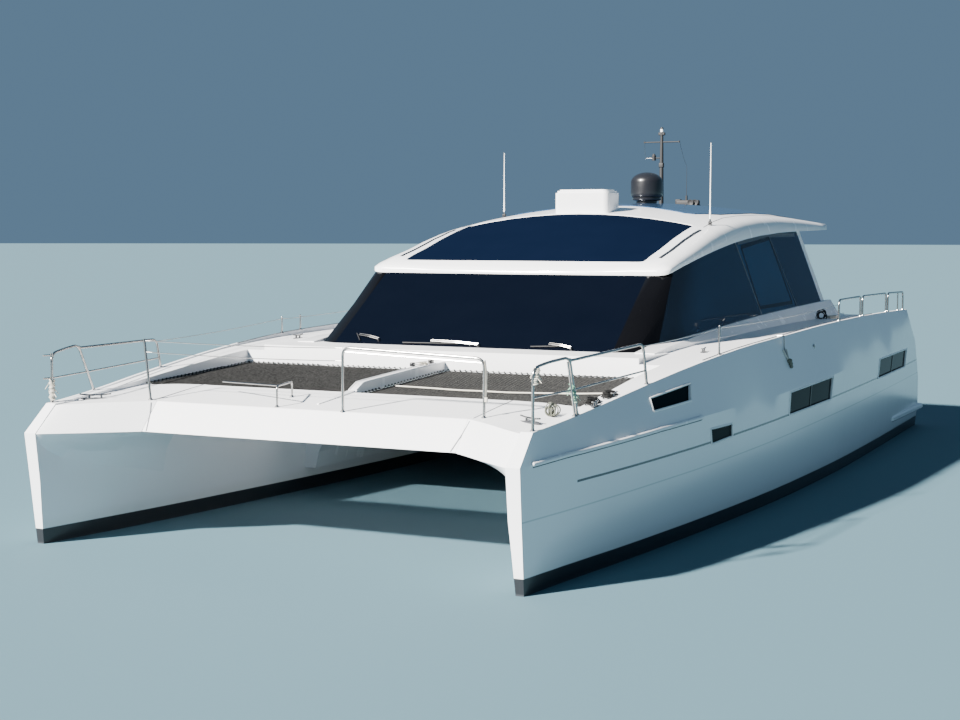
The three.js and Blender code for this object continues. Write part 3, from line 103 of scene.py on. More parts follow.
# Materials.
def tinted(colour: Colour, factor: float, lift: float = 0.0) -> Colour:
    """Gives a colour made darker or paler."""
    return tuple(c * factor + lift for c in colour)


def arithmetic(operation: str, swapped: bool = False) -> Callable[[Term, Term | float], Term]:
    """Makes the method for one of Python's arithmetic signs.

    Args:
        operation: The Math node's operation.
        swapped: Whether the other value comes first.

    Returns:
        The method, which adds the node and gives its result.
    """

    def method(self: Term, other: Term | float) -> Term:
        """Adds the node over the term and the other value."""
        return self.math(operation, *((other, self) if swapped else (self, other)))

    return method


class Term:
    """A value that varies over a surface: a node's socket on which Python's arithmetic adds Math nodes."""

    def __init__(self, recipe: Recipe, socket: bpy.types.NodeSocket) -> None:
        """Keeps the socket and the recipe that its node belongs to."""
        self.recipe = recipe
        self.socket = socket

    def math(self, operation: str, *values: Term | float, clamp: bool = False) -> Term:
        """Adds a Math node over the given values, held between 0 and 1 where clamp says so."""
        settings = {"operation": operation, "use_clamp": clamp}
        return self.recipe.node("ShaderNodeMath", settings, dict(enumerate(values)))

    __add__ = arithmetic("ADD")
    __radd__ = arithmetic("ADD", swapped=True)
    __sub__ = arithmetic("SUBTRACT")
    __rsub__ = arithmetic("SUBTRACT", swapped=True)
    __mul__ = arithmetic("MULTIPLY")
    __rmul__ = arithmetic("MULTIPLY", swapped=True)
    __truediv__ = arithmetic("DIVIDE")

    def size(self) -> Term:
        """Gives the value without its sign."""
        return self.math("ABSOLUTE", self)

    def fraction(self) -> Term:
        """Gives the part of the value after its whole number."""
        return self.math("FRACT", self)

    def above(self, limit: Term | float, soft: float) -> Term:
        """Gives a mask that turns from 0 to 1, over a soft range, as the value passes a limit."""
        return self.math("MULTIPLY_ADD", self - limit, 1 / soft, 0.5, clamp=True)

    def between(self, low: Term | float, high: Term | float, soft: float) -> Term:
        """Gives a mask that is 1 between two limits and turns over a soft range at each."""
        return self.above(low, soft) * (1 - self.above(high, soft))


class Recipe:
    """One material, wired node by node."""

    def __init__(self, name: str) -> None:
        """Starts an empty material."""
        self.material = bpy.data.materials.new(name)
        self.material.use_nodes = True
        self.material.node_tree.nodes.clear()
        self.place = self.node("ShaderNodeTexCoord", output="Object")
        self.x, self.y, self.z = (self.part(self.place, axis) for axis in "XYZ")

    def node(
        self,
        kind: str,
        settings: dict[str, object] | None = None,
        sockets: dict[int | str, Term | float | Point] | None = None,
        output: int | str = 0,
    ) -> Term:
        """Adds one node.

        Args:
            kind: The node's type.
            settings: Its properties, which are set first.
            sockets: Values or links for its inputs.
            output: Which of its outputs is wanted.

        Returns:
            That output.
        """
        made = self.material.node_tree.nodes.new(kind)
        for key, value in (settings or {}).items():
            setattr(made, key, value)
        for key, value in (sockets or {}).items():
            if isinstance(value, Term):
                self.material.node_tree.links.new(value.socket, made.inputs[key])
            else:
                made.inputs[key].default_value = value
        return Term(self, made.outputs[output])

    def part(self, vector: Term, axis: str) -> Term:
        """Gives one part of a vector."""
        return self.node("ShaderNodeSeparateXYZ", sockets={0: vector}, output=axis)

    def noise(self, scale: float, detail: float = 2.0, stretch: Point = (1, 1, 1)) -> Term:
        """Gives a cloudy pattern between 0 and 1, with features per metre, finer layers and a stretch."""
        where = self.node("ShaderNodeMapping", sockets={"Vector": self.place, "Scale": stretch})
        return self.node("ShaderNodeTexNoise", sockets={"Vector": where, "Scale": scale, "Detail": detail})

    def cells(self, scale: float) -> Term:
        """Gives the distance from the points of a scattered pattern."""
        sockets = {"Vector": self.place, "Scale": scale}
        return self.node("ShaderNodeTexVoronoi", sockets=sockets, output="Distance")

    def facing_up(self) -> Term:
        """Gives a mask of the surfaces that one can stand on."""
        return self.part(self.node("ShaderNodeNewGeometry", output="Normal"), "Z").above(0.93, 0.1)

    def facing_aside(self) -> Term:
        """Gives a mask of the surfaces that look to port or to starboard."""
        return self.part(self.node("ShaderNodeNewGeometry", output="Normal"), "Y").size().above(0.4, 0.1)

    def blend(self, share: Term | float, first: Term | Point, second: Term | Point) -> Term:
        """Mixes two colours by the share of the second."""
        colours = [c if isinstance(c, Term) else (*c, 1) for c in (first, second)]
        return self.node("ShaderNodeMix", {"data_type": "RGBA"}, {0: share, 6: colours[0], 7: colours[1]}, 2)

    def bump(self, height: Term, rise: float, strength: float = 1.0) -> Term:
        """Turns a pattern into relief whose tops stand so many metres high."""
        return self.node("ShaderNodeBump", sockets={"Height": height, "Distance": rise, "Strength": strength})

    def surface(self, **sockets: Term | float | Point) -> bpy.types.Material:
        """Closes the material with its shader.

        Args:
            sockets: The shader's inputs, with underscores for spaces.

        Returns:
            The finished material.
        """
        values = {key.replace("_", " "): value for key, value in sockets.items()}
        for key in ("Base Color", "Emission Color"):
            if key in values and not isinstance(values[key], Term):
                values[key] = (*values[key], 1)
        shader = self.node("ShaderNodeBsdfPrincipled", sockets=values)
        end = self.material.node_tree.nodes.new("ShaderNodeOutputMaterial")
        self.material.node_tree.links.new(shader.socket, end.inputs["Surface"])
        return self.material


@dataclass(frozen=True)
class Gelcoat:
    """White moulded gelcoat, with a gritty non-skid pattern where it faces up on the walking decks."""

    name: str = "white_gelcoat"
    colour: Colour = (0.84, 0.845, 0.86)
    grip: float = 0.0

    def material(self) -> bpy.types.Material:
        """Makes the material.

        Returns:
            The finished material.
        """
        r = Recipe(self.name)
        haze = r.noise(0.6, 4)
        grime = r.noise(5.0, 5, (1, 1, 0.25))
        colour = r.blend(haze * 0.5 + grime * 0.3, self.colour, tinted(self.colour, 0.955))
        roughness = 0.2 + 0.12 * grime
        relief = r.noise(3.0, 1) * 0.6
        if not self.grip:
            return r.surface(
                Base_Color=colour,
                Roughness=roughness,
                Normal=r.bump(relief, 0.0006, 0.5),
                Coat_Weight=0.35,
                Coat_Roughness=0.08,
            )
        deck = r.facing_up() * self.grip
        studs = r.cells(190)
        colour = r.blend(deck * 0.55, colour, OFF_WHITE)
        return r.surface(
            Base_Color=colour,
            Roughness=roughness + deck * 0.35,
            Normal=r.bump(studs * deck + relief * 0.2, 0.0015, 0.6),
            Coat_Weight=0.25,
            Coat_Roughness=0.1,
        )


@dataclass(frozen=True)
class HullGelcoat:
    """The hulls' gelcoat: dark bottom paint, a black boot top, a thin dark line along the topsides and a line
    of painted shade along their crease.
    """

    name: str = "hull_gelcoat"
    colour: Colour = (0.84, 0.85, 0.87)
    boot_top: float = 0.215
    waterline: float = 0.02
    line_at_middle: float = 1.400
    line_slope: float = -0.0163
    line_half: float = 0.016
    line_fore: float = 8.93
    line_aft: float = -9.55
    crease_at_middle: float = 1.075
    crease_slope: float = -0.0175
    crease_shade_half: float = 0.009

    def material(self) -> bpy.types.Material:
        """Makes the material.

        Returns:
            The finished material.
        """
        r = Recipe(self.name)
        haze = r.noise(0.35, 4, (0.4, 1, 1.6))
        streaks = r.noise(2.2, 5, (2.5, 1, 0.12))
        white = r.blend(haze * 0.6 + streaks * 0.25, self.colour, tinted(self.colour, 0.94))
        line_z = r.x * self.line_slope + self.line_at_middle
        line = 1 - (r.z - line_z).size().above(self.line_half, 0.006)
        line = line * r.x.between(self.line_aft, self.line_fore, 0.02)
        outboard = r.y.size().above(HULL_Y, 0.02) * r.facing_aside()
        # Painted shade: a soft teal-grey line along the hull's crease stands in for the shade the crease
        # casts.
        crease_z = r.x * self.crease_slope + self.crease_at_middle
        crease = (1 - (r.z - crease_z).size().above(self.crease_shade_half, 0.012)) * outboard
        deck = r.facing_up() * r.z.above(1.5, 0.1)
        colour = r.blend(crease * 0.5, white, (0.26, 0.33, 0.33))
        colour = r.blend(line * outboard, colour, (0.035, 0.045, 0.06))
        colour = r.blend(deck * 0.5, colour, OFF_WHITE)
        boot = 1 - r.z.above(self.boot_top, 0.008)
        scum = (1 - r.z.above(0.3, 0.16)) * r.noise(1.4, 5, (1, 1, 3)) * 0.35
        colour = r.blend(scum, colour, (0.62, 0.62, 0.52))
        colour = r.blend(boot, colour, (0.012, 0.013, 0.016))
        under = 1 - r.z.above(self.waterline, 0.02)
        paint = r.blend(r.noise(4, 6), (0.020, 0.024, 0.032), (0.035, 0.042, 0.050))
        colour = r.blend(under, colour, paint)
        roughness = 0.16 + 0.1 * streaks + boot * 0.15 + under * 0.35 + deck * 0.35
        height = r.noise(2.2, 1) * 0.5 + r.cells(190) * deck * 0.5
        return r.surface(
            Base_Color=colour,
            Roughness=roughness,
            Normal=r.bump(height, 0.0012, 0.5),
            Coat_Weight=0.3 - under * 0.3,
            Coat_Roughness=0.16,
        )


@dataclass(frozen=True)
class Glass:
    """Tinted glass: almost black behind a clean gloss, with a faint ripple and a little dried salt."""

    name: str
    tint: Colour
    clear: float = 1.0
    rough: float = 0.03
    dark_from: float = 99.0
    gloss: float = 0.05

    def material(self) -> bpy.types.Material:
        """Makes the material.

        Returns:
            The finished material.
        """
        r = Recipe(self.name)
        salt = r.noise(1.6, 6, (1, 1, 2))
        colour = r.blend(salt * 0.35, self.tint, tinted(self.tint, 1.5, 0.001))
        shaded = (r.x + (r.z - 2.6) * 0.75).above(self.dark_from, 1.1)
        colour = r.blend(shaded * 0.8, colour, (0.002, 0.003, 0.006))
        ripple = r.bump(r.noise(0.9, 1), 0.0006, 0.3)
        return r.surface(
            Base_Color=colour,
            Roughness=self.rough + salt * 0.03,
            Normal=ripple,
            Specular_IOR_Level=self.gloss,
            Alpha=self.clear,
        )


@dataclass(frozen=True)
class SolarGlass:
    """A dark blue solar panel under glass: square cells, thin contact lines and pale joints."""

    name: str = "solar_panel"
    cell: float = 0.158

    def material(self) -> bpy.types.Material:
        """Makes the material.

        Returns:
            The finished material.
        """
        r = Recipe(self.name)
        u = ((r.x + 10) / self.cell).fraction()
        v = ((r.y + 10) / self.cell).fraction()
        joint = 1 - u.between(0.03, 0.97, 0.03) * v.between(0.03, 0.97, 0.03)
        fingers = ((r.y + 10) / self.cell * 3).fraction().between(0.47, 0.53, 0.03)
        shade = r.blend(r.noise(3, 4), (0.020, 0.055, 0.125), (0.035, 0.085, 0.170))
        colour = r.blend(fingers * 0.35, shade, (0.25, 0.30, 0.36))
        colour = r.blend(joint, colour, (0.014, 0.025, 0.05))
        return r.surface(
            Base_Color=colour,
            Roughness=0.16 + 0.05 * r.noise(5, 3),
            Metallic=0.15,
            Coat_Weight=0.6,
            Coat_Roughness=0.05,
        )


@dataclass(frozen=True)
class Metal:
    """Polished or cast metal with fine scratches and a little tarnish."""

    name: str
    colour: Colour
    tarnish: Colour
    rough: float = 0.14

    def material(self) -> bpy.types.Material:
        """Makes the material.

        Returns:
            The finished material.
        """
        r = Recipe(self.name)
        spots = r.noise(9, 6)
        scratches = r.noise(160, 2, (1, 1, 0.06))
        colour = r.blend(spots.above(0.56, 0.3) * 0.5, self.colour, self.tarnish)
        roughness = self.rough + spots * 0.1 + scratches * 0.06
        return r.surface(
            Base_Color=colour, Metallic=1.0, Roughness=roughness, Normal=r.bump(scratches, 0.0002, 0.25)
        )


@dataclass(frozen=True)
class Plastic:
    """Moulded plastic, rubber or paint with a fine orange-peel grain."""

    name: str
    colour: Colour
    rough: float = 0.38
    coat: float = 0.0
    grain: float = 120.0

    def material(self) -> bpy.types.Material:
        """Makes the material.

        Returns:
            The finished material.
        """
        r = Recipe(self.name)
        faded = r.noise(7, 4)
        colour = r.blend(faded * 0.5, self.colour, tinted(self.colour, 1.35, 0.004))
        normal = r.bump(r.noise(self.grain, 3), 0.0004, 0.35)
        return r.surface(
            Base_Color=colour,
            Roughness=self.rough + faded * 0.1,
            Normal=normal,
            Coat_Weight=self.coat,
            Coat_Roughness=0.08,
        )


@dataclass(frozen=True)
class Rope:
    """Laid rope: dark or pale fibres with a diagonal lay and some bleaching."""

    name: str
    colour: Colour
    bleached: Colour
    lay: float = 55.0
    patch: float = 6.0

    def material(self) -> bpy.types.Material:
        """Makes the material.

        Returns:
            The finished material.
        """
        r = Recipe(self.name)
        strands = ((r.x + r.y * 0.8 + r.z * 0.9) * self.lay).fraction()
        twist = (strands - 0.5).size() * 2
        fibres = r.noise(240, 3)
        worn = r.noise(self.patch, 4).above(0.5, 0.4) * 0.7 + fibres * 0.2
        colour = r.blend(worn, self.colour, self.bleached)
        return r.surface(
            Base_Color=colour,
            Roughness=0.9,
            Normal=r.bump(twist * 0.8 + fibres * 0.3, 0.0022, 0.9),
            Specular_IOR_Level=0.15,
        )


@dataclass(frozen=True)
class Leather:
    """Pale upholstery vinyl with a leather grain."""

    name: str = "seat_vinyl"
    colour: Colour = (0.36, 0.35, 0.335)

    def material(self) -> bpy.types.Material:
        """Makes the material.

        Returns:
            The finished material.
        """
        r = Recipe(self.name)
        grain = r.cells(420)
        worn = r.noise(4, 4)
        colour = r.blend(worn * 0.5 + grain * 0.2, self.colour, tinted(self.colour, 0.78))
        return r.surface(
            Base_Color=colour,
            Roughness=0.5 + worn * 0.15,
            Normal=r.bump(grain, 0.0008, 0.6),
            Sheen_Weight=0.15,
        )


@dataclass(frozen=True)
class Joinery:
    """Oiled oak joinery with long grain."""

    name: str = "oiled_oak"
    pale: Colour = (0.33, 0.21, 0.12)
    dark: Colour = (0.17, 0.10, 0.055)

    def material(self) -> bpy.types.Material:
        """Makes the material.

        Returns:
            The finished material.
        """
        r = Recipe(self.name)
        grain = r.noise(6, 8, (0.6, 9, 9))
        pores = r.noise(60, 4, (0.08, 3, 3))
        colour = r.blend(grain.above(0.5, 0.4) * 0.8 + pores * 0.15, self.pale, self.dark)
        return r.surface(
            Base_Color=colour,
            Roughness=0.42 + pores * 0.15,
            Normal=r.bump(pores, 0.0006, 0.5),
            Coat_Weight=0.15,
            Coat_Roughness=0.2,
        )


class Finish(Enum):
    """The boat's finishes, each with the record's slot that it belongs to."""

    GELCOAT = (Gelcoat(), "gelcoat")
    DECK = (Gelcoat("deck_gelcoat", grip=1.0), "gelcoat")
    HULL = (HullGelcoat(), "gelcoat")
    SCREEN = (Glass("screen_glass", (0.0010, 0.0018, 0.0045)), "dark_glass")
    UPPER = (Glass("upper_glass", (0.0018, 0.0042, 0.0120), rough=0.25, gloss=0.0), "dark_glass")
    CORNER = (Glass("corner_glass", (0.0022, 0.0023, 0.0030)), "dark_glass")
    SIDE = (Glass("side_pane", (0.006, 0.020, 0.046), dark_from=2.0), "side_glass")
    DOOR = (Glass("door_glass", (0.02, 0.03, 0.035), clear=0.55), "side_glass")
    PORTLIGHT = (Glass("portlight_glass", (0.004, 0.010, 0.012), gloss=0.012), "dark_glass")
    SOLAR = (SolarGlass(), "solar_glass")
    BLACK = (Plastic("black_moulding", (0.007, 0.007, 0.009), 0.25, 0.3), "black_plastic")
    RUBBER = (Plastic("black_rubber", (0.007, 0.007, 0.008), 0.6), "black_plastic")
    # Painted shadow: a dark grey for thin strips and pads laid where shade falls, under the knuckle moulding,
    # inboard of the toe and under the cleats.
    SHADOW = (Plastic("painted_shadow", (0.045, 0.048, 0.055), 0.7), "black_plastic")
    WHITE = (Plastic("white_fibreglass", (0.80, 0.80, 0.79), 0.32, 0.2), "gelcoat")
    STEEL = (Metal("polished_steel", (0.42, 0.41, 0.40), (0.22, 0.20, 0.17)), "stainless")
    BRONZE = (Metal("cast_bronze", (0.55, 0.36, 0.17), (0.20, 0.22, 0.14), 0.28), "bronze")
    BOTTOM = (Plastic("bottom_paint", (0.022, 0.027, 0.036), 0.75, grain=40.0), "antifouling")
    NET = (Rope("net_rope", (0.004, 0.004, 0.005), (0.050, 0.050, 0.048), 70, 26.0), "net")
    LINE = (Rope("white_rope", (0.50, 0.47, 0.40), (0.68, 0.65, 0.58)), "net")
    GREEN_LINE = (Rope("green_rope", (0.10, 0.34, 0.22), (0.55, 0.60, 0.52)), "net")
    OLD_LINE = (Rope("weathered_rope", (0.055, 0.065, 0.045), (0.30, 0.30, 0.25), patch=18.0), "net")
    JOINT = (Plastic("grey_joint", (0.13, 0.135, 0.15), 0.6), "black_plastic")
    BORDER = (Glass("pane_border", (0.003, 0.008, 0.017)), "side_glass")
    # Painted reflection: the middle pane's paler blue tint stands in for the sky reflected in it.
    MID_PANE = (Glass("mid_pane", (0.009, 0.036, 0.080)), "side_glass")
    LEATHER = (Leather(), "upholstery")
    OAK = (Joinery(), "joinery")

    @property
    def slot(self) -> str:
        """Gives the record's slot."""
        return self.value[1]

    @property
    def material(self) -> bpy.types.Material:
        """Gives the material, made the first time it is asked for."""
        recipe = self.value[0]
        return bpy.data.materials.get(recipe.name) or recipe.material()


# Shapes. Each function that gives a part gives it closed.
def upward(height: float) -> Vector:
    """Gives a step straight up."""
    return Vector((0, 0, height))


def polar(radius: float, angle: float, height: float = 0.0, flat: float = 1.0) -> Vector:
    """Gives a point on a level circle, or on an ellipse where flat isn't 1."""
    return Vector((radius * math.cos(angle), radius * flat * math.sin(angle), height))


def along(corners: Sequence[Point], steps: int) -> list[tuple[float, ...]]:
    """Walks a route of straight legs in equal steps.

    Args:
        corners: The route's corners.
        steps: How many steps each leg has.

    Returns:
        The points from the first corner to the last.
    """
    points = [
        tuple(a + (b - a) * (step / steps) for a, b in zip(start, end))
        for start, end in zip(corners, corners[1:])
        for step in range(steps)
    ]
    return points + [tuple(corners[-1])]


def as_mesh(part: bmesh.types.BMesh, name: str) -> bpy.types.Mesh:
    """Turns a part into a mesh and frees it.

    Args:
        part: The part.
        name: The mesh's name.

    Returns:
        The mesh.
    """
    mesh = bpy.data.meshes.new(name)
    part.to_mesh(mesh)
    part.free()
    return mesh


def merged(mesh: bpy.types.Mesh) -> bmesh.types.BMesh:
    """Copies a CAD node's mesh as a part and joins its loose triangles.

    Args:
        mesh: The node's mesh.

    Returns:
        The part.
    """
    part = bmesh.new()
    part.from_mesh(mesh)
    bmesh.ops.remove_doubles(part, verts=part.verts, dist=SAME_PLACE)
    bmesh.ops.dissolve_limit(part, angle_limit=math.radians(0.3), verts=part.verts, edges=part.edges)
    return part


def ease(part: bmesh.types.BMesh, edge: float, segments: int = 3, angle: float = 30) -> None:
    """Rounds the part's sharp edges.

    Args:
        part: The part.
        edge: How far they are rounded.
        segments: How many steps the rounding has.
        angle: How sharp an edge is before it is rounded, in degrees.
    """
    limit = math.radians(angle)
    sharp = [e for e in part.edges if len(e.link_faces) == 2 and e.calc_face_angle(0) > limit]
    bmesh.ops.bevel(
        part,
        geom=sharp,
        offset=edge,
        affect="EDGES",
        segments=segments,
        profile=0.5,
        material=-1,
        clamp_overlap=True,
    )


def cuboid(low: Point, high: Point, edge: float = 0.0) -> bmesh.types.BMesh:
    """Makes a block with eased edges.

    Args:
        low: Its lowest corner.
        high: Its highest corner.
        edge: How far its edges are rounded.

    Returns:
        The part.
    """
    part = bmesh.new()
    low, high = Vector(low), Vector(high)
    place = Matrix.Translation((low + high) / 2) @ Matrix.Diagonal((*(high - low), 1))
    bmesh.ops.create_cube(part, size=1, matrix=place)
    if edge:
        ease(part, edge)
    return part


def rod(
    start: Point, end: Point, radius: float, end_radius: float | None = None, sides: int = 16
) -> bmesh.types.BMesh:
    """Makes a round bar or cone between two points.

    Args:
        start: The centre of its first end.
        end: The centre of its second end.
        radius: Its radius at the start.
        end_radius: Its radius at the end, if another.
        sides: How many sides it has.

    Returns:
        The part.
    """
    part = bmesh.new()
    start, end = Vector(start), Vector(end)
    turn = (end - start).to_track_quat("Z", "Y").to_matrix().to_4x4()
    bmesh.ops.create_cone(
        part,
        cap_ends=True,
        segments=sides,
        radius1=radius,
        radius2=radius if end_radius is None else end_radius,
        depth=(end - start).length,
        matrix=Matrix.Translation((start + end) / 2) @ turn,
    )
    return part


def ball(centre: Point, radius: float, around: int, rings: int) -> bmesh.types.BMesh:
    """Makes a ball with poles, as on the end of a tube.

    Args:
        centre: Its centre.
        radius: Its radius.
        around: How many sides it has.
        rings: How many rings it has from pole to pole.

    Returns:
        The part.
    """
    part = bmesh.new()
    place = Matrix.Translation(centre)
    bmesh.ops.create_uvsphere(part, u_segments=around, v_segments=rings, radius=radius, matrix=place)
    return part


def knot(centre: Point, radius: float, fineness: int) -> bmesh.types.BMesh:
    """Makes a small ball of triangles, as a knot or an eye.

    Args:
        centre: Its centre.
        radius: Its radius.
        fineness: How often its triangles are divided.

    Returns:
        The part.
    """
    part = bmesh.new()
    bmesh.ops.create_icosphere(part, subdivisions=fineness, radius=radius, matrix=Matrix.Translation(centre))
    return part


def eased(points: Iterable[Point], reach: float, steps: int = 6) -> list[Vector]:
    """Rounds the corners of a route.

    Args:
        points: The route's corners.
        reach: How far from each corner the bend starts.
        steps: How many steps each bend has.

    Returns:
        The points of the eased route.
    """
    corners = [Vector(p) for p in points]
    route = [corners[0]]
    for before, corner, after in zip(corners, corners[1:], corners[2:]):
        back, on = before - corner, after - corner
        near = min(reach, back.length * BEND_LIMIT, on.length * BEND_LIMIT)
        start, end = corner + back.normalized() * near, corner + on.normalized() * near
        for step in range(steps + 1):
            share = step / steps
            route.append(start.lerp(corner, share).lerp(corner.lerp(end, share), share))
    return route + [corners[-1]]


def rounded(corners: Sequence[Point], radius: float) -> list[Vector]:
    """Gives a closed outline with rounded corners."""
    return eased([corners[-1], *corners, corners[0]], radius, 5)[1:-1]


def pipe(
    points: Iterable[Point], radius: float, reach: float = 0.0, sides: int = 12, flat: float = 1.0
) -> bmesh.types.BMesh:
    """Makes a bent tube or rope along a route.

    Args:
        points: The route's corners.
        radius: The tube's radius.
        reach: How far from each corner the bend starts, or 0 where the points are already smooth.
        sides: How many sides it has.
        flat: Its height against its width.

    Returns:
        The part.
    """
    route = eased(points, reach) if reach else [Vector(p) for p in points]
    part = bmesh.new()
    ways = [(b - a).normalized() for a, b in zip([route[0], *route], [*route[1:], route[-1]])]
    ways[0], ways[-1] = (route[1] - route[0]).normalized(), (route[-1] - route[-2]).normalized()
    halved = [((a + b) / 2).normalized() for a, b in zip(ways[1:-1], [*ways[2:-1], ways[-1]])]
    ways = [ways[0], *halved, ways[-1]]
    across = ways[0].cross(Vector((0, 0, 1)))
    across = (across if across.length > 0.05 else ways[0].cross(Vector((0, 1, 0)))).normalized()
    places = []
    for centre, way in zip(route, ways):
        across = (across - way * across.dot(way)).normalized()
        up = way.cross(across)
        places.append(Matrix((*zip(across, up * flat, way, centre), (0, 0, 0, 1))))
    bmesh.ops.create_circle(part, cap_ends=False, segments=sides, radius=radius, matrix=places[0])
    first = edges = list(part.edges)
    for before, after in zip(places, places[1:]):
        made = bmesh.ops.extrude_edge_only(part, edges=edges)["geom"]
        ring = {v for v in made if isinstance(v, bmesh.types.BMVert)}
        edges = [e for e in made if isinstance(e, bmesh.types.BMEdge) and set(e.verts) <= ring]
        bmesh.ops.transform(part, matrix=after @ before.inverted(), verts=list(ring))
    for loop in (first, edges):
        bmesh.ops.contextual_create(part, geom=loop)
    return part


def turned(profile: Iterable[Point], place: Matrix, sides: int) -> bmesh.types.BMesh:
    """Makes a shape turned on a lathe.

    Args:
        profile: Radius and height of its outline, from the lower pole to the upper.
        place: Where its axis, local Z, goes.
        sides: How many sides it has.

    Returns:
        The part.
    """
    part = bmesh.new()
    verts = [part.verts.new((max(radius, 0.0), 0, height)) for radius, height in profile]
    edges = [part.edges.new(pair) for pair in zip(verts, verts[1:])]
    bmesh.ops.spin(
        part,
        geom=verts + edges,
        axis=(0, 0, 1),
        cent=(0, 0, 0),
        steps=sides,
        angle=2 * math.pi,
        use_merge=True,
    )
    bmesh.ops.remove_doubles(part, verts=part.verts, dist=SAME_PLACE)
    bmesh.ops.recalc_face_normals(part, faces=part.faces)
    bmesh.ops.transform(part, matrix=place, verts=part.verts)
    return part


def plate(outline: Iterable[Point], rise: Point, edge: float = 0.0) -> bmesh.types.BMesh:
    """Makes a plate from a flat outline.

    Args:
        outline: Its corners.
        rise: Which way and how far it is thick.
        edge: How far its edges are rounded.

    Returns:
        The part.
    """
    part = bmesh.new()
    face = part.faces.new([part.verts.new(p) for p in outline])
    made = bmesh.ops.extrude_face_region(part, geom=[face])["geom"]
    bmesh.ops.translate(part, vec=rise, verts=[v for v in made if isinstance(v, bmesh.types.BMVert)])
    bmesh.ops.recalc_face_normals(part, faces=part.faces)
    if edge:
        ease(part, edge, 2)
    return part


@dataclass
class Piece:
    """One piece of the scene in the making, from parts that may have different finishes."""

    name: str
    slot: str | None = None
    body: str = "boat"
    stands_for: tuple[str, ...] = ()
    crease: float = 35
    finishes: list[Finish] = field(default_factory=list)
    shape: bmesh.types.BMesh = field(default_factory=bmesh.new)

    def take(self, finish: Finish, *parts: bmesh.types.BMesh) -> None:
        """Adds parts of one finish and frees their bmeshes.

        Args:
            finish: Their finish.
            parts: The parts.
        """
        if finish not in self.finishes:
            self.finishes.append(finish)
        for part in parts:
            bmesh.ops.recalc_face_normals(part, faces=part.faces)
            for face in part.faces:
                face.material_index = self.finishes.index(finish)
                face.smooth = True
            carrier = as_mesh(part, "part")
            self.shape.from_mesh(carrier)
            bpy.data.meshes.remove(carrier)

    def done(self) -> None:
        """Makes the object from all the parts."""
        self.settle(as_mesh(self.shape, self.name))

    def settle(self, mesh: bpy.types.Mesh) -> bpy.types.Object:
        """Dresses a mesh, puts it on its body and reports it.

        Args:
            mesh: The finished mesh.

        Returns:
            The object.
        """
        for finish in self.finishes:
            mesh.materials.append(finish.material)
        mesh.set_sharp_from_angle(angle=math.radians(self.crease))
        made = bpy.data.objects.new(self.name, mesh)
        bpy.context.scene.collection.objects.link(made)
        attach(made, self.body)
        if self.stands_for:
            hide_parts(*self.stands_for)
        log.info("%s: %d faces on %s", self.name, len(mesh.polygons), self.body)
        return made


class Surface:
    """The outside of some CAD nodes, on which trim is laid."""

    def __init__(self, frame: dict, *nodes: str) -> None:
        """Gathers the nodes' faces.

        Args:
            frame: The loaded frame.
            nodes: The nodes' names.
        """
        points: list[Vector] = []
        faces: list[tuple[int, ...]] = []
        for name in nodes:
            mesh = frame["nodes"][name].data
            start = len(points)
            points += [v.co.copy() for v in mesh.vertices]
            faces += [tuple(start + i for i in p.vertices) for p in mesh.polygons]
        self.tree = BVHTree.FromPolygons(points, faces)

    def beside(self, x: float, z: float, side: int = 1, out: float = 0.0) -> Vector:
        """Finds the outboard surface at a place in side view.

        Args:
            x: Length.
            z: Height.
            side: 1 for port or -1 for starboard.
            out: How far outside the surface the point is.

        Returns:
            The point.
        """
        hit, normal, _, _ = self.tree.ray_cast(Vector((x, 8 * side, z)), Vector((0, -side, 0)))
        if hit is None:
            hit, normal, _, _ = self.tree.find_nearest(Vector((x, 4.6 * side, z)))
        return hit + normal * out

    def ahead(self, y: float, z: float, start: float) -> Vector:
        """Gives the first point met from ahead.

        Args:
            y: Breadth.
            z: Height.
            start: The length where the search begins.

        Returns:
            The point.
        """
        hit, _, _, _ = self.tree.ray_cast(Vector((start, y, z)), Vector((-1, 0, 0)))
        if hit is None:
            raise ValueError(f"nothing aft of {y}, {z}")
        return hit

    def below(self, x: float, y: float, out: float = 0.0, start: float = 9.0) -> Vector:
        """Finds the upper surface at a place in plan.

        Args:
            x: Length.
            y: Breadth.
            out: How far above the surface the point is.
            start: The height from which the surface is looked for.

        Returns:
            The point.
        """
        hit, normal, _, _ = self.tree.ray_cast(Vector((x, y, start)), Vector((0, 0, -1)))
        if hit is None:
            hit, normal, _, _ = self.tree.find_nearest(Vector((x, y, 2.5)))
        return hit + normal * out

    def toe(self, x: float, side: int) -> Vector:
        """Finds the middle of the raised toe at the edge of a side deck.

        Args:
            x: Length.
            side: 1 for port or -1 for starboard.

        Returns:
            The point on the toe.
        """
        y = 4.8
        while y > 3.0:
            hit, normal, _, _ = self.tree.ray_cast(Vector((x, side * y, TOE_SEARCH)), Vector((0, 0, -1)))
            if hit is not None and hit.z > 1.9 and normal.z > 0.9:
                return self.below(x, side * (y - 0.032), 0.0, TOE_SEARCH)
            y -= 0.004
        raise ValueError(f"no deck edge at {x}")


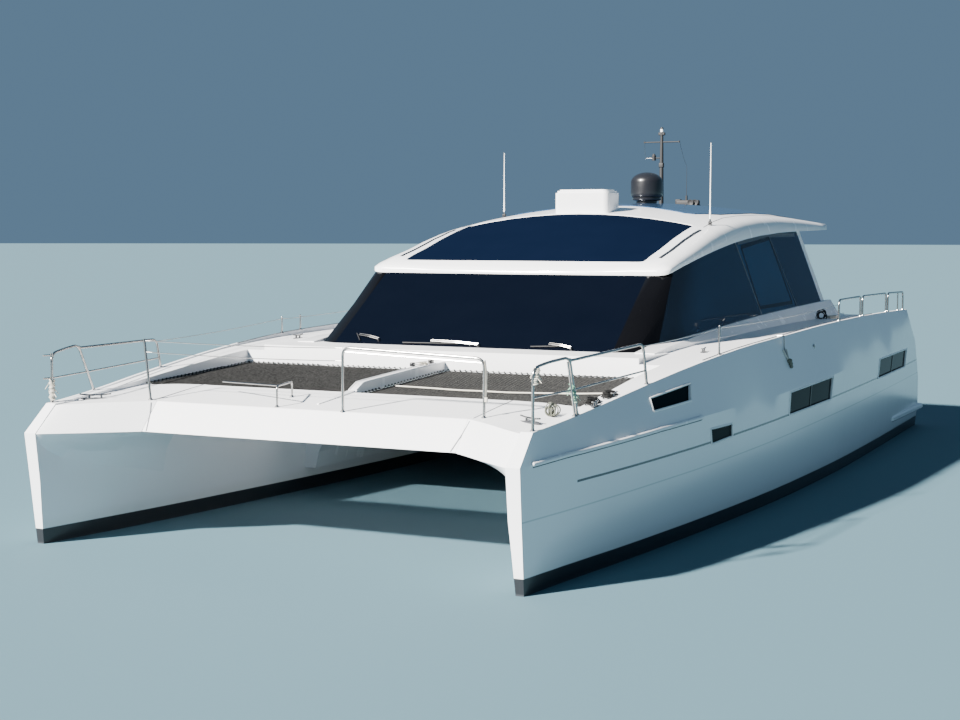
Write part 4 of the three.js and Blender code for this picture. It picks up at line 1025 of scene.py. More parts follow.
@dataclass
class Shells:
    """The smooth outsides of the moulded nodes: each is a merged copy of its solid, with eased edges.

    A row of the table gives the node or pair of nodes, its finish, how far its sharp edges are rounded and
    the angle in degrees above which an edge is sharp.
    """

    frame: dict
    table: tuple[tuple[str, Finish, float, float], ...] = (
        ("hull_{}", Finish.HULL, 0.020, 27),
        ("bridge_deck", Finish.DECK, 0.0, 30),
        ("bow_beam", Finish.DECK, 0.016, 25),
        ("net_spine", Finish.GELCOAT, 0.012, 25),
        ("roof", Finish.GELCOAT, 0.0, 48),
        ("roof_box", Finish.GELCOAT, 0.022, 30),
        ("roof_panel", Finish.SOLAR, 0.0, 30),
        ("upper_screen", Finish.UPPER, 0.0, 30),
        ("coaming_{}", Finish.GELCOAT, 0.008, 20),
        ("corner_glass_{}", Finish.CORNER, 0.0, 50),
        ("aft_pillar_{}", Finish.GELCOAT, 0.006, 30),
        ("aft_bulkhead", Finish.GELCOAT, 0.0, 30),
        ("door_track", Finish.GELCOAT, 0.004, 30),
        ("propeller_shaft_{}", Finish.STEEL, 0.0, 35),
        ("shaft_strut_{}", Finish.BRONZE, 0.004, 35),
        ("propeller_{}", Finish.BRONZE, 0.0, 35),
        ("rudder_{}", Finish.BOTTOM, 0.0, 30),
    )
    flats: tuple[tuple[str, Finish], ...] = (
        ("windscreen", Finish.SCREEN),
        ("side_glass_fore_{}", Finish.SIDE),
        ("side_glass_mid_{}", Finish.MID_PANE),
        ("side_glass_aft_{}", Finish.SIDE),
        ("aft_window_{}", Finish.DOOR),
    )

    def build(self) -> None:
        """Makes a shell for each moulded node and dresses the flat panes where they are."""
        for row, finish, edge, crease in self.table:
            for node in self.nodes(row):
                self.shell(node, finish, edge, crease)
        for row, finish in self.flats:
            for node in self.nodes(row):
                self.frame["nodes"][node].material_slots[0].material = finish.material

    def nodes(self, row: str) -> list[str]:
        """Gives the node that a row names, or the pair where it leaves room for the side's name."""
        return [row.format(side) for side in SIDES] if "{}" in row else [row]

    def shell(self, node: str, finish: Finish, edge: float, crease: float) -> None:
        """Makes one shell.

        Args:
            node: The node that it stands for.
            finish: Its finish.
            edge: How far its sharp edges are rounded.
            crease: The angle above which an edge is sharp, in degrees.
        """
        solid = self.frame["nodes"][node]
        part = merged(solid.data)
        if edge:
            ease(part, edge, 3, crease)
        for face in part.faces:
            face.smooth = True
            face.material_index = 0
        mesh = as_mesh(part, f"{node}_shell")
        mesh.materials.clear()
        piece = Piece(
            f"{node}_shell",
            slot=solid.material_slots[0].material.name,
            body=body_of(solid)[0],
            stands_for=(node,),
            crease=crease,
            finishes=[finish],
        )
        piece.settle(mesh).modifiers.new("even_normals", "WEIGHTED_NORMAL").keep_sharp = True


@dataclass
class Topsides:
    """Trim on the outside of the hulls: the knuckle moulding, the windows and their rims and mullions.

    Places are length and height in side view. A window's row gives its name, corners and number of mullions.
    """

    frame: dict
    moulding: tuple[Point, ...] = ((9.92, 1.575), (9.2, 1.61), (8.0, 1.65), (6.8, 1.69), (5.49, 1.72))
    moulding_radius: float = 0.030
    shadow_radius: float = 0.013
    windows: tuple[tuple[str, tuple[Point, ...], int], ...] = (
        ("bow", ((6.795, 1.920), (5.608, 1.965), (5.405, 2.190), (6.735, 2.092)), 0),
        ("small", ((5.016, 1.289), (4.220, 1.320), (4.261, 1.511), (5.102, 1.516)), 0),
        ("mid", ((1.500, 1.370), (-1.100, 1.400), (-1.100, 1.800), (1.500, 1.740)), 1),
        ("aft", ((-4.900, 1.470), (-7.700, 1.500), (-7.700, 1.880), (-4.900, 1.850)), 1),
    )
    pane_share: float = 0.997
    rim_share: float = 1.012
    rim_radius: float = 0.016
    mullion_radius: float = 0.022

    def build(self) -> None:
        """Makes the trim of both hulls."""
        for name, side in SIDES.items():
            hull = Surface(self.frame, f"hull_{name}")
            self.knuckle(hull, name, side)
            for window, outline, mullions in self.windows:
                self.window(hull, f"{window}_window_{name}", outline, mullions, side)

    def knuckle(self, hull: Surface, name: str, side: int) -> None:
        """Lays the half-round moulding on the knuckle of the bow, with a dark strip of painted shadow under
        it.

        Args:
            hull: The hull's surface.
            name: The side's name.
            side: 1 for port or -1 for starboard.
        """
        piece = Piece(f"knuckle_moulding_{name}")
        route = [hull.beside(*place, side, 0.004) for place in along(self.moulding, 8)]
        piece.take(Finish.GELCOAT, pipe(route, self.moulding_radius))
        # Painted shadow: a dark pipe just under the moulding stands in for the shadow it casts.
        shadow = [hull.beside(at.x, at.z - self.moulding_radius, side) for at in route]
        piece.take(Finish.SHADOW, pipe(shadow, self.shadow_radius, sides=8))
        piece.take(Finish.GELCOAT, *(ball(end, self.moulding_radius, 12, 8) for end in (route[0], route[-1])))
        piece.done()

    def window(self, hull: Surface, name: str, outline: Sequence[Point], mullions: int, side: int) -> None:
        """Fits a pane, its rim and its mullions in one recess.

        Args:
            hull: The hull's surface.
            name: The piece's name.
            outline: The recess's outline in side view.
            mullions: How many upright bars it has.
            side: 1 for port or -1 for starboard.
        """
        piece = Piece(name, slot="dark_glass")
        middle = Vector((sum(p[0] for p in outline) / 4, sum(p[1] for p in outline) / 4))
        low_fore, low_aft, high_aft, high_fore = (Vector(corner) for corner in outline)

        def place(u: float, v: float) -> Vector:
            """Gives the place in side view at shares of the pane's length and height."""
            flat = low_fore.lerp(low_aft, u).lerp(high_fore.lerp(high_aft, u), v)
            return middle + (flat - middle) * self.pane_share

        pane = bmesh.new()
        for vert in bmesh.ops.create_grid(pane, x_segments=14, y_segments=4, size=0.5)["verts"]:
            vert.co = hull.beside(*place(vert.co.x + 0.5, vert.co.y + 0.5), side, 0.006)
        bmesh.ops.solidify(pane, geom=pane.faces[:], thickness=-0.004)
        piece.take(Finish.PORTLIGHT, pane)
        edge = along([*outline, outline[0]], 10)
        rim = [hull.beside(*(middle + (Vector(at) - middle) * self.rim_share), side) for at in edge]
        piece.take(Finish.WHITE, pipe(rim, self.rim_radius, sides=8))
        for index in range(mullions):
            share = (index + 1) / (mullions + 1)
            bar = [hull.beside(*place(share, v / 5), side, 0.010) for v in range(6)]
            piece.take(Finish.BLACK, pipe(bar, self.mullion_radius, sides=8, flat=0.4))
        piece.done()


@dataclass(frozen=True)
class Pulpit:
    """One bow pulpit's places: feet in plan, bends as points and the middle rail's three heights."""

    name: str
    side: int
    front_foot: Point
    front_top: float
    shoulder: Point
    corner: Point
    leg_foot: Point
    aft_top: Point
    aft_foot: Point
    middle: Point
    stub_heights: tuple[float, ...] = ()
    twin: float = 0.0


@dataclass
class Rails:
    """Stainless rails and posts round the decks, with their feet, and the guard wires between them."""

    frame: dict
    foot_radius: float = 0.038
    middle_radius: float = 0.0125
    wire_radius: float = 0.0055
    bend: float = 0.12
    pulpits: tuple[Pulpit, ...] = (
        Pulpit(
            "pulpit_port",
            1,
            front_foot=(9.68, 3.68),
            front_top=2.695,
            shoulder=(9.40, 3.755, 2.750),
            corner=(8.95, 3.84, 2.786),
            leg_foot=(8.60, 3.80),
            aft_top=(6.60, 3.92, 2.811),
            aft_foot=(6.59, 3.975),
            middle=(2.339, 2.367, 2.450),
            twin=0.075,
        ),
        Pulpit(
            "pulpit_starboard",
            -1,
            front_foot=(9.68, 3.69),
            front_top=2.620,
            shoulder=(9.35, 3.75, 2.665),
            corner=(8.98, 3.81, 2.700),
            leg_foot=(8.68, 3.795),
            aft_top=(7.01, 3.94, 2.665),
            aft_foot=(6.905, 3.95),
            middle=(2.280, 2.300, 2.370),
            stub_heights=(2.28, 2.60),
        ),
    )
    posts: tuple[tuple[str, float, float], ...] = (
        ("stanchion_port", 3.97, 2.95),
        ("stanchion_starboard_fore", 3.10, 2.845),
        ("stanchion_starboard_aft", 2.47, 2.85),
    )
    hoops: tuple[tuple[float, float], ...] = ((-2.70, -4.34), (-4.52, -6.56), (-6.74, -8.27))
    hoop_rise: float = 0.385
    aft_post: float = -7.74

    def build(self) -> None:
        """Makes every rail, post and wire."""
        self.deck = Surface(self.frame, *DECKS)
        for sizes in self.pulpits:
            self.pulpit(sizes)
        self.bow_rails()
        for node, x, top in self.posts:
            self.stanchion(node, x, top)
        for name, side in SIDES.items():
            self.aft_rail(name, side)
        self.wires()

    def foot(self, piece: Piece, x: float, y: float) -> Vector:
        """Puts a round flange and its boss on the deck.

        Args:
            piece: The rail that it belongs to.
            x: Length.
            y: Breadth.

        Returns:
            Where the leg meets the deck.
        """
        at = self.deck.below(x, y, 0.0, DECK_SEARCH)
        piece.take(
            Finish.STEEL,
            rod(at - upward(0.002), at + upward(0.008), self.foot_radius, self.foot_radius * 0.85, 20),
            rod(at + upward(0.006), at + upward(0.028), 0.023, 0.019),
        )
        return at

    def clamp(self, piece: Piece, at: Point, way: Vector) -> None:
        """Puts a short sleeve where two tubes meet."""
        half = way.normalized() * 0.026
        piece.take(Finish.STEEL, rod(Vector(at) - half, Vector(at) + half, 0.0205))

    def pulpit(self, sizes: Pulpit) -> None:
        """Makes a bow pulpit.

        Args:
            sizes: The pulpit's places.
        """
        piece = Piece(f"{sizes.name}_rail", stands_for=(sizes.name,), slot="stainless")
        feet = (sizes.front_foot, sizes.leg_foot, sizes.aft_foot)
        front_foot, leg_foot, aft_foot = [self.foot(piece, x, sizes.side * y) for x, y in feet]
        bends = ((*sizes.front_foot, sizes.front_top), sizes.shoulder, sizes.corner, sizes.aft_top)
        front_top, shoulder, corner, aft_top = [Vector((x, sizes.side * y, z)) for x, y, z in bends]

        def on(high: Vector, low: Vector, z: float) -> Vector:
            """Gives the point of a leg at a height."""
            return high.lerp(low, (high.z - z) / (high.z - low.z))

        start = on(corner, leg_foot, corner.z - 0.045)
        piece.take(
            Finish.STEEL,
            pipe([front_foot, front_top, shoulder, corner, leg_foot], RAIL_RADIUS, self.bend),
            pipe([start, aft_top, aft_foot], RAIL_RADIUS, self.bend),
        )
        self.clamp(piece, start, corner - leg_foot)
        legs = ((front_top, front_foot), (corner, leg_foot), (aft_top, aft_foot))
        ends = [on(*leg, height) for leg, height in zip(legs, sizes.middle)]
        piece.take(Finish.STEEL, *(pipe(pair, self.middle_radius) for pair in zip(ends, ends[1:])))
        self.clamp(piece, ends[1], corner - leg_foot)
        for height in sizes.stub_heights:
            stem = on(front_top, front_foot, height)
            piece.take(Finish.STEEL, rod(stem - Vector((0.03, 0, 0)), stem + Vector((0.17, 0, 0.004)), 0.013))
            self.clamp(piece, stem, front_top - front_foot)
        if sizes.twin:
            low_end = self.foot(piece, leg_foot.x + sizes.twin, leg_foot.y)
            high_end = on(corner, leg_foot, corner.z - 0.06) + Vector((sizes.twin, 0.0, 0.0))
            piece.take(Finish.STEEL, rod(high_end, low_end, 0.0135))
        piece.done()

    def bow_rails(self) -> None:
        """Makes the gate rail, the single post and the low rail on the beam."""
        gate = Piece("bow_gate", stands_for=("bow_gate_rail",), slot="stainless")
        inner, outer = self.foot(gate, 8.94, 0.59), self.foot(gate, 8.90, 2.65)
        tops = [Vector((8.94, 0.59, 2.80)), Vector((8.90, 2.65, 2.72))]
        under = [tops[0].lerp(tops[1], share) - upward(0.055) for share in (0.02, 0.98)]
        gate.take(Finish.STEEL, pipe([inner, *tops, outer], RAIL_RADIUS, self.bend))
        gate.take(Finish.STEEL, pipe(under, 0.006, sides=8))
        gate.done()
        post = Piece("gate_post_tube", stands_for=("gate_post",), slot="stainless")
        foot, top = self.foot(post, 8.93, -2.565), Vector((8.93, -2.665, 2.805))
        post.take(Finish.STEEL, rod(foot, top, 0.0175))
        for height in (2.63, 2.79):
            self.clamp(post, foot.lerp(top, (height - foot.z) / (top.z - foot.z)), top - foot)
        post.done()
        low = Piece("low_handrail", stands_for=("low_rail",), slot="stainless")
        fore, aft = self.foot(low, 8.90, -0.47), self.foot(low, 8.25, -0.65)
        low.take(
            Finish.STEEL,
            pipe([fore, (8.90, -0.47, 2.24), (8.25, -0.65, 2.24), aft], 0.0135, 0.06),
            pipe([(8.84, -0.485, 2.24), (8.30, -1.78, 2.20)], 0.0105),
        )
        low.done()

    def stanchion(self, node: str, x: float, top: float) -> None:
        """Makes a single post of a side deck.

        Args:
            node: The node that it stands for.
            x: Its length.
            top: The height of its top.
        """
        low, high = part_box(node)
        y = (low[1] + high[1]) / 2
        piece = Piece(node + "_post", stands_for=(node,), slot="stainless")
        at = self.foot(piece, x, y)
        piece.take(
            Finish.STEEL,
            rod(at, (x, y, top - 0.012), 0.0155, 0.0125),
            ball((x, y, top - 0.0165), 0.0165, 14, 10),
            rod((x - 0.02, y, top - 0.05), (x + 0.02, y, top - 0.05), 0.007, sides=10),
        )
        piece.done()

    def aft_rail(self, name: str, side: int) -> None:
        """Makes the three hoops and the post of one side's aft rail.

        Args:
            name: The side's name.
            side: 1 for port or -1 for starboard.
        """
        piece = Piece(f"aft_hoops_{name}", stands_for=(f"aft_rail_{name}",), slot="stainless")
        rise, thick = upward(self.hoop_rise), upward(0.014)
        for fore, aft in self.hoops:
            a, b = self.deck.toe(fore, side), self.deck.toe(aft, side)
            piece.take(Finish.STEEL, pipe([a, a + rise, b + rise, b], RAIL_RADIUS, 0.11))
            piece.take(Finish.STEEL, *(rod(at, at + thick, 0.036, 0.031, 18) for at in (a, b)))
        for (_, aft), (fore, _) in zip(self.hoops, self.hoops[1:]):
            a, b = self.deck.toe(fore + 0.045, side), self.deck.toe(aft - 0.045, side)
            inner, outer = Vector((0, -0.022, -0.006)), Vector((0, 0.022, -0.006))
            piece.take(Finish.STEEL, plate([a + inner, b + inner, b + outer, a + outer], thick, 0.003))
        post = self.deck.toe(self.aft_post, side)
        piece.take(Finish.STEEL, rod(post, post + rise, 0.0145), rod(post, post + thick, 0.034, 0.03, 18))
        piece.done()

    def wires(self) -> None:
        """Strings the guard wires, with a little sag and a fork at each end."""
        piece = Piece("guard_wires", slot="stainless")
        port, fore, aft = (
            (x, self.deck.toe(x, side).y - 0.013 * side, z)
            for x, side, z in ((3.97, 1, 2.90), (3.10, -1, 2.80), (2.47, -1, 2.80))
        )
        hoops = [self.deck.toe(-2.7, side) + upward(0.30) for side in (1, -1)]
        runs = (
            ((6.60, 3.92, 2.78), port),
            (port, hoops[0]),
            ((8.93, -2.665, 2.79), (8.94, 0.59, 2.79)),
            ((8.93, -2.64, 2.63), (8.94, 0.59, 2.62)),
            ((7.01, -3.94, 2.63), fore),
            (fore, aft),
            (aft, hoops[1]),
        )
        for start, end in runs:
            ends = [Vector(start), Vector(end)]
            sag = (ends[1] - ends[0]).length * 0.006
            points = enumerate(along([start, end], 12))
            route = [Vector(at) - upward(sag * math.sin(math.pi * step / 12)) for step, at in points]
            piece.take(Finish.STEEL, pipe(route, self.wire_radius, sides=6))
            for at, toward in (ends, ends[::-1]):
                fork = at + (toward - at).normalized() * 0.11
                piece.take(Finish.STEEL, rod(at, fork, 0.007, 0.0055, 8))
        piece.done()


@dataclass
class Nets:
    """The rope nets between the beam and the cabin, laced to eyes round their wells."""

    frame: dict
    fore: float = 7.75
    aft: float = 5.03
    inner: float = 0.0755
    outer: float = 3.62
    mesh: float = 0.052
    cord: float = 0.0072
    margin: float = 0.075
    probe: float = 0.04
    cord_step: float = 0.22
    edge_rope: float = 0.010
    lacing: float = 0.0045
    lacing_pitch: float = 0.095
    eye: float = 0.014
    eye_margin: float = 0.012

    def build(self) -> None:
        """Makes both nets."""
        self.centre = Vector(((self.fore + self.aft) / 2, (self.inner + self.outer) / 2))
        self.half = Vector(((self.fore - self.aft) / 2, (self.outer - self.inner) / 2))
        for name, side in SIDES.items():
            self.sheet = Surface(self.frame, f"net_{name}")
            piece = Piece(f"rope_net_{name}", slot="net", stands_for=(f"net_{name}",))
            self.weave(piece, side)
            self.lace(piece, side)
            piece.done()

    def inside(self, at: Vector) -> bool:
        """Tells whether a place in plan is inside the net's edge rope."""
        away = at - self.centre
        return min(self.half.x - abs(away.x), self.half.y - abs(away.y)) > self.margin

    def height(self, x: float, y: float, side: int, rise: float = 0.0) -> Vector:
        """Gives the net's point over a place in plan."""
        top = self.sheet.below(min(max(x, self.aft + 0.01), self.fore - 0.01), y * side)
        return Vector((x, y * side, top.z - 0.010 + rise))

    def weave(self, piece: Piece, side: int) -> None:
        """Lays two families of cords across each other.

        Args:
            piece: The net.
            side: 1 for port or -1 for starboard.
        """
        for turn in (1, -1):
            way = Vector((1, turn)).normalized()
            across = Vector((-way.y, way.x))
            for index in range(-48, 49):
                start = self.centre + across * index * self.mesh
                reach = [step * self.probe for step in range(-60, 61)]
                held = [away for away in reach if self.inside(start + way * away)]
                if len(held) < 3:
                    continue
                first, last = self.limit(start, way, held[0], -1), self.limit(start, way, held[-1], 1)
                count = max(3, int((last - first) / self.cord_step))
                spots = [start + way * (first + (last - first) * step / count) for step in range(count + 1)]
                route = [self.height(*at, side, 0.003 * turn) for at in spots]
                piece.take(Finish.NET, pipe(route, self.cord, sides=5))

    def limit(self, start: Vector, way: Vector, inner: float, turn: int) -> float:
        """Finds where a cord meets the net's edge, by halving.

        Args:
            start: A point of the cord in plan.
            way: The cord's direction.
            inner: A distance along it that is inside.
            turn: Which way the edge lies.

        Returns:
            The distance at the edge.
        """
        outer = inner + 0.05 * turn
        for _ in range(8):
            middle = (inner + outer) / 2
            if self.inside(start + way * middle):
                inner = middle
            else:
                outer = middle
        return inner

    def ring(self, margin: float, pitch: float) -> list[Vector]:
        """Walks round the well at a distance from its edge.

        Args:
            margin: The distance inside the edge.
            pitch: How far apart the points are.

        Returns:
            The points in plan.
        """
        low = Vector((self.aft + margin, self.inner + margin, 0))
        high = Vector((self.fore - margin, self.outer - margin, 0))
        corners = [(low.x, low.y, 0), (high.x, low.y, 0), (high.x, high.y, 0), (low.x, high.y, 0)]
        route = rounded(corners, 0.04)
        points, left = [], 0.0
        for a, b in zip(route, [*route[1:], route[0]]):
            length = (b - a).length
            while left < length:
                points.append(a.lerp(b, left / length))
                left += pitch
            left -= length
        return points

    def lace(self, piece: Piece, side: int) -> None:
        """Adds the net's edge rope, the eyes on the well's side and the lacing between them.

        Args:
            piece: The net.
            side: 1 for port or -1 for starboard.
        """
        edge = self.ring(self.margin, 0.08)
        rope = [self.height(at.x, at.y, side, 0.004) for at in [*edge, edge[0]]]
        piece.take(Finish.NET, pipe(rope, self.edge_rope, sides=8))
        near, far = (self.ring(margin, self.lacing_pitch) for margin in (self.margin, self.eye_margin))
        count = min(len(near), len(far))
        route = []
        for index in range(count):
            inner = near[int(index * len(near) / count)]
            outer = far[int(index * len(far) / count)]
            route += [self.height(inner.x, inner.y, side, 0.016), self.height(outer.x, outer.y, side, 0.022)]
            piece.take(Finish.NET, knot(self.height(outer.x, outer.y, side, 0.02), self.eye, 1))
        piece.take(Finish.NET, pipe([*route, route[0]], self.lacing, sides=5))


@dataclass
class SidePanes:
    """The joints and dark borders of the side glass, and a black band of painted shadow under the roof's
    edge.
    """

    frame: dict
    joints: tuple[tuple[Point, Point, float], ...] = (
        ((-2.455, 2.66), (-1.420, 4.15), 0.030),
        ((-4.990, 2.69), (-3.670, 4.27), 0.014),
    )
    border: tuple[Point, ...] = ((-2.386, 2.930), (-4.640, 2.950), (-3.660, 4.235), (-1.740, 4.070))
    border_half: float = 0.035
    band: tuple[Point, ...] = ((-1.56, 4.150), (-3.77, 4.288), (-5.55, 4.300))
    band_half: float = 0.034

    def build(self) -> None:
        """Makes the strips of both sides."""
        for name, side in SIDES.items():
            glass = Surface(self.frame, *(f"side_glass_{place}_{name}" for place in ("fore", "mid", "aft")))
            piece = Piece(f"pane_joints_{name}", slot="black_plastic")
            for start, end, half in self.joints:
                piece.take(Finish.BLACK, self.strip(glass, start, end, half, side))
            for start, end in zip(self.border, [*self.border[1:], self.border[0]]):
                piece.take(Finish.BORDER, self.strip(glass, start, end, self.border_half, side))
            # Painted shadow: the black band on the glass under the roof's edge stands in for the roof's cast
            # shadow.
            band = along(self.band, 6)
            for start, end in zip(band, band[1:]):
                piece.take(Finish.BLACK, self.strip(glass, start, end, self.band_half, side))
            piece.done()

    def strip(self, glass: Surface, start: Point, end: Point, half: float, side: int) -> bmesh.types.BMesh:
        """Lays a thin band on the glass.

        Args:
            glass: The panes.
            start: One end of the band in side view.
            end: The other end.
            half: Half its width.
            side: 1 for port or -1 for starboard.

        Returns:
            The part.
        """
        low, high = Vector(start), Vector(end)
        across = (high - low).orthogonal().normalized() * half
        corners = [low - across, high - across, high + across, low + across]
        outline = [glass.beside(*corner, side, 0.0008) for corner in corners]
        return plate(outline, (0, 0.0022 * side, 0.0006))


@dataclass
class DeckGear:
    """What lies on the decks and hangs at the hull: cleats, ropes, a strap, a hook, joints and vents.

    A cleat's row gives its length, its breadth, half the length of its horns and its direction in radians.
    A wrap's row gives its name, its two ends, its radius, its number of turns and its finish.
    """

    frame: dict
    cleats: tuple[tuple[float, float, float, float], ...] = (
        (8.08, 3.83, 0.13, 0.10),
        (7.42, 3.83, 0.13, 0.10),
        (9.16, -3.36, 0.22, 2.15),
        (9.05, 3.36, 0.22, 1.0),
        (-7.2, 4.12, 0.15, 0.0),
        (-7.2, -4.12, 0.15, 0.0),
        (3.35, 3.70, 0.13, 0.1),
        (3.35, -3.70, 0.13, -0.1),
    )
    horns: tuple[Point, ...] = ((-1.0, 0.012), (-0.55, 0.002), (0.0, 0.0), (0.55, 0.002), (1.0, 0.012))
    wraps: tuple[tuple[str, Point, Point, float, int, Finish], ...] = (
        ("wrap_starboard", (9.68, -3.69, 1.975), (9.68, -3.69, 2.26), 0.034, 15, Finish.LINE),
        ("wrap_port", (8.68, 3.80, 2.20), (8.79, 3.806, 2.44), 0.028, 12, Finish.GREEN_LINE),
        ("wrap_port_top", (9.66, 3.69, 2.50), (9.60, 3.70, 2.70), 0.034, 9, Finish.LINE),
    )
    strap: tuple[Point, ...] = (
        (8.90, 2.66, 2.70),
        (8.905, 2.685, 2.55),
        (8.90, 2.68, 2.35),
        (8.90, 2.67, 2.22),
    )
    hook_x: float = 1.16

    def build(self) -> None:
        """Makes each piece."""
        self.deck = Surface(self.frame, *DECKS)
        for index, cleat in enumerate(self.cleats):
            self.cleat(f"deck_cleat_{index + 1}", *cleat)
        self.joints()
        self.coils()
        self.hanging_coil()
        for wrap in self.wraps:
            self.wrap(*wrap)
        self.line_and_strap()
        for name, side in SIDES.items():
            self.hull_trim(name, side)
        self.fender_hook()
        self.spine()

    def cleat(self, name: str, x: float, y: float, half: float, turn: float) -> None:
        """Makes a steel horn cleat on a dark oval pad of painted shade.

        Args:
            name: The piece's name.
            x: Length.
            y: Breadth.
            half: Half the length of its horns.
            turn: Its direction in plan, in radians.
        """
        piece = Piece(name, slot="stainless")
        at = self.deck.below(x, y, 0.0, DECK_SEARCH)
        place = Matrix.Translation(at) @ Matrix.Rotation(turn, 4, "Z")
        angles = [2 * math.pi * step / 24 for step in range(24)]
        oval = [place @ polar(half * 0.95, angle, -0.004, 0.36 / 0.95) for angle in angles]
        # Painted shade: the dark oval pad, in the shadow finish, stands in for the shade under and round the
        # cleat.
        piece.take(Finish.SHADOW, plate(oval, upward(0.012), 0.003))
        rise = upward(0.052)
        feet = [place @ Vector((half * share, 0, 0)) for share in (-0.38, 0.38)]
        piece.take(Finish.STEEL, *(rod(foot, foot + rise, 0.020, 0.013, 14) for foot in feet))
        horns = [place @ Vector((half * share, 0, lift)) + rise for share, lift in self.horns]
        piece.take(Finish.STEEL, pipe(horns, 0.0135, flat=0.85))
        piece.done()

    def joints(self) -> None:
        """Lays the grey joint between the beam and each hull."""
        for name, side in SIDES.items():
            piece = Piece(f"beam_joint_{name}", slot="black_plastic")
            face = Surface(self.frame, "bow_beam", f"hull_{name}")
            route = [face.ahead(y * side, z, 9.9) for y, z in along([(2.370, 1.565), (2.500, 1.925)], 5)]
            route += [face.below(x, 2.51 * side, 0.001, DECK_SEARCH) for x in (8.9, 8.6, 8.2, 7.77)]
            piece.take(Finish.JOINT, pipe(route, 0.011, sides=8, flat=0.5))
            piece.done()

    def coil(
        self, piece: Piece, centre: Point, radius: float, turns: int, finish: Finish, flat: float = 1.0
    ) -> None:
        """Adds a hank of rope laid down in loose turns.

        Args:
            piece: What it belongs to.
            centre: The middle of its foot.
            radius: The radius of its outer turn.
            turns: How many turns it has.
            finish: The rope's finish.
            flat: Its breadth against its length.
        """
        route = []
        for step in range(turns * 18 + 1):
            level = step / 18
            wide = radius * (1 - 0.055 * (level % 4)) * (1 + 0.07 * math.sin(level * 2.3))
            shift = Vector((0.012 * math.sin(level * 1.7), 0.012 * math.cos(level * 2.1), 0))
            spread = polar(wide, 2 * math.pi * level, 0.006 + 0.011 * level / 1.6, flat)
            route.append(Vector(centre) + shift + spread)
        piece.take(finish, pipe(route, 0.0075, sides=7))

    def coils(self) -> None:
        """Lays the coil of line aft, the standing bundle by the port net and the two dark hanks beside it."""
        aft = Piece("aft_line_coil", slot="net")
        self.coil(aft, self.deck.below(-5.897, 3.40, 0.0, 3.4), 0.17, 7, Finish.LINE, 0.7)
        aft.done()
        self.bundle("fore_line_bundle", self.deck.below(8.55, 3.43, 0.0, 2.6), 0.10, 0.17, 9)
        for name, x, y in (("fore", 7.84, 3.69), ("aft", 7.40, 3.76)):
            hank = Piece(f"dark_hank_{name}", slot="net")
            for level in range(3):
                at = self.deck.below(x, y, 0.018 * level, DECK_SEARCH)
                self.coil(hank, at, 0.20 - 0.035 * level, 5, Finish.NET, 0.42)
            hank.done()

    def bundle(self, name: str, centre: Vector, radius: float, height: float, turns: int) -> None:
        """Makes a hank of old rope that stands in upright loops.

        Args:
            name: The piece's name.
            centre: The middle of its foot.
            radius: Its radius in plan.
            height: Its height.
            turns: How many loops it has.
        """
        piece = Piece(name, slot="net")
        for turn in range(turns):
            way = polar(1.0, turn * 2.4)
            wide = radius * (0.8 + 0.2 * math.sin(turn * 1.9))
            tall = height * (0.8 + 0.2 * math.cos(turn * 1.3))
            base = centre + way * 0.02 + upward(0.006)
            loop = []
            for step in range(21):
                angle = 2 * math.pi * step / 20
                lift = tall * (0.5 - 0.5 * math.cos(angle))
                loop.append(base + way * wide * math.sin(angle) + upward(lift))
            piece.take(Finish.OLD_LINE, pipe(loop, 0.009, sides=6))
        piece.done()

    def hanging_coil(self) -> None:
        """Hangs the dark coil at the port coaming."""
        ring = Piece("hanging_coil", slot="net")
        at = Surface(self.frame, "coaming_port").beside(-5.45, 2.64, 1, 0.035)
        for turn in range(7):
            wide = 0.090 + 0.022 * math.sin(turn * 2.1)
            slip = Vector((0.03 * math.sin(turn * 3.0), 0.0, 0.035 * math.cos(turn * 2.2)))
            loop = []
            for step in range(25):
                angle = 2 * math.pi * step / 24
                away = 0.012 * math.sin(turn * 1.3 + angle)
                reach = wide * math.cos(angle)
                spot = (0.55 * reach + 0.012 * turn - 0.04, 0.12 - 0.8 * reach + away, wide * math.sin(angle))
                loop.append(at + slip + Vector(spot))
            ring.take(Finish.NET, pipe(loop, 0.0085, sides=6))
        ring.done()

    def wrap(self, name: str, start: Point, end: Point, radius: float, turns: int, finish: Finish) -> None:
        """Winds line round a pulpit's leg, with loose ends.

        Args:
            name: The piece's name.
            start: The leg's point at the first turn.
            end: The leg's point at the last turn.
            radius: The radius of the turns.
            turns: How many turns it has.
            finish: The line's finish.
        """
        piece = Piece(name, slot="net")
        low, high = Vector(start), Vector(end)
        route = []
        for step in range(turns * 12 + 1):
            swell = radius * (1 + 0.22 * math.sin(step * 0.37))
            route.append(low.lerp(high, step / (turns * 12)) + polar(swell, 2 * math.pi * step / 12))
        piece.take(finish, pipe(route, 0.0085, sides=7))
        for index in range(4):
            foot = low.lerp(high, 0.25 + 0.2 * index)
            tip = foot + polar(0.10, 1.3 + index * 1.5, -0.03 - 0.02 * index)
            piece.take(finish, pipe([foot, foot.lerp(tip, 0.5) + upward(0.03), tip], 0.005, 0.02, 6))
        piece.done()

    def line_and_strap(self) -> None:
        """Lays the white line across the port net and hangs the strap on the gate rail."""
        line = Piece("net_line", slot="net")
        net = Surface(self.frame, "net_port")
        spots = [0.22 + 3.14 * step / 32 for step in range(33)]
        route = [net.below(6.85 - 0.075 * y + 0.012 * math.sin(y * 7), y, 0.012, DECK_SEARCH) for y in spots]
        line.take(Finish.LINE, pipe(route, 0.0115, sides=7))
        line.done()
        strap = Piece("gate_strap", slot="net")
        buckle = cuboid((8.885, 2.655, 2.17), (8.915, 2.695, 2.23), 0.006)
        strap.take(Finish.LINE, pipe(self.strap, 0.016, 0.05, 8, 0.3), buckle)
        strap.done()

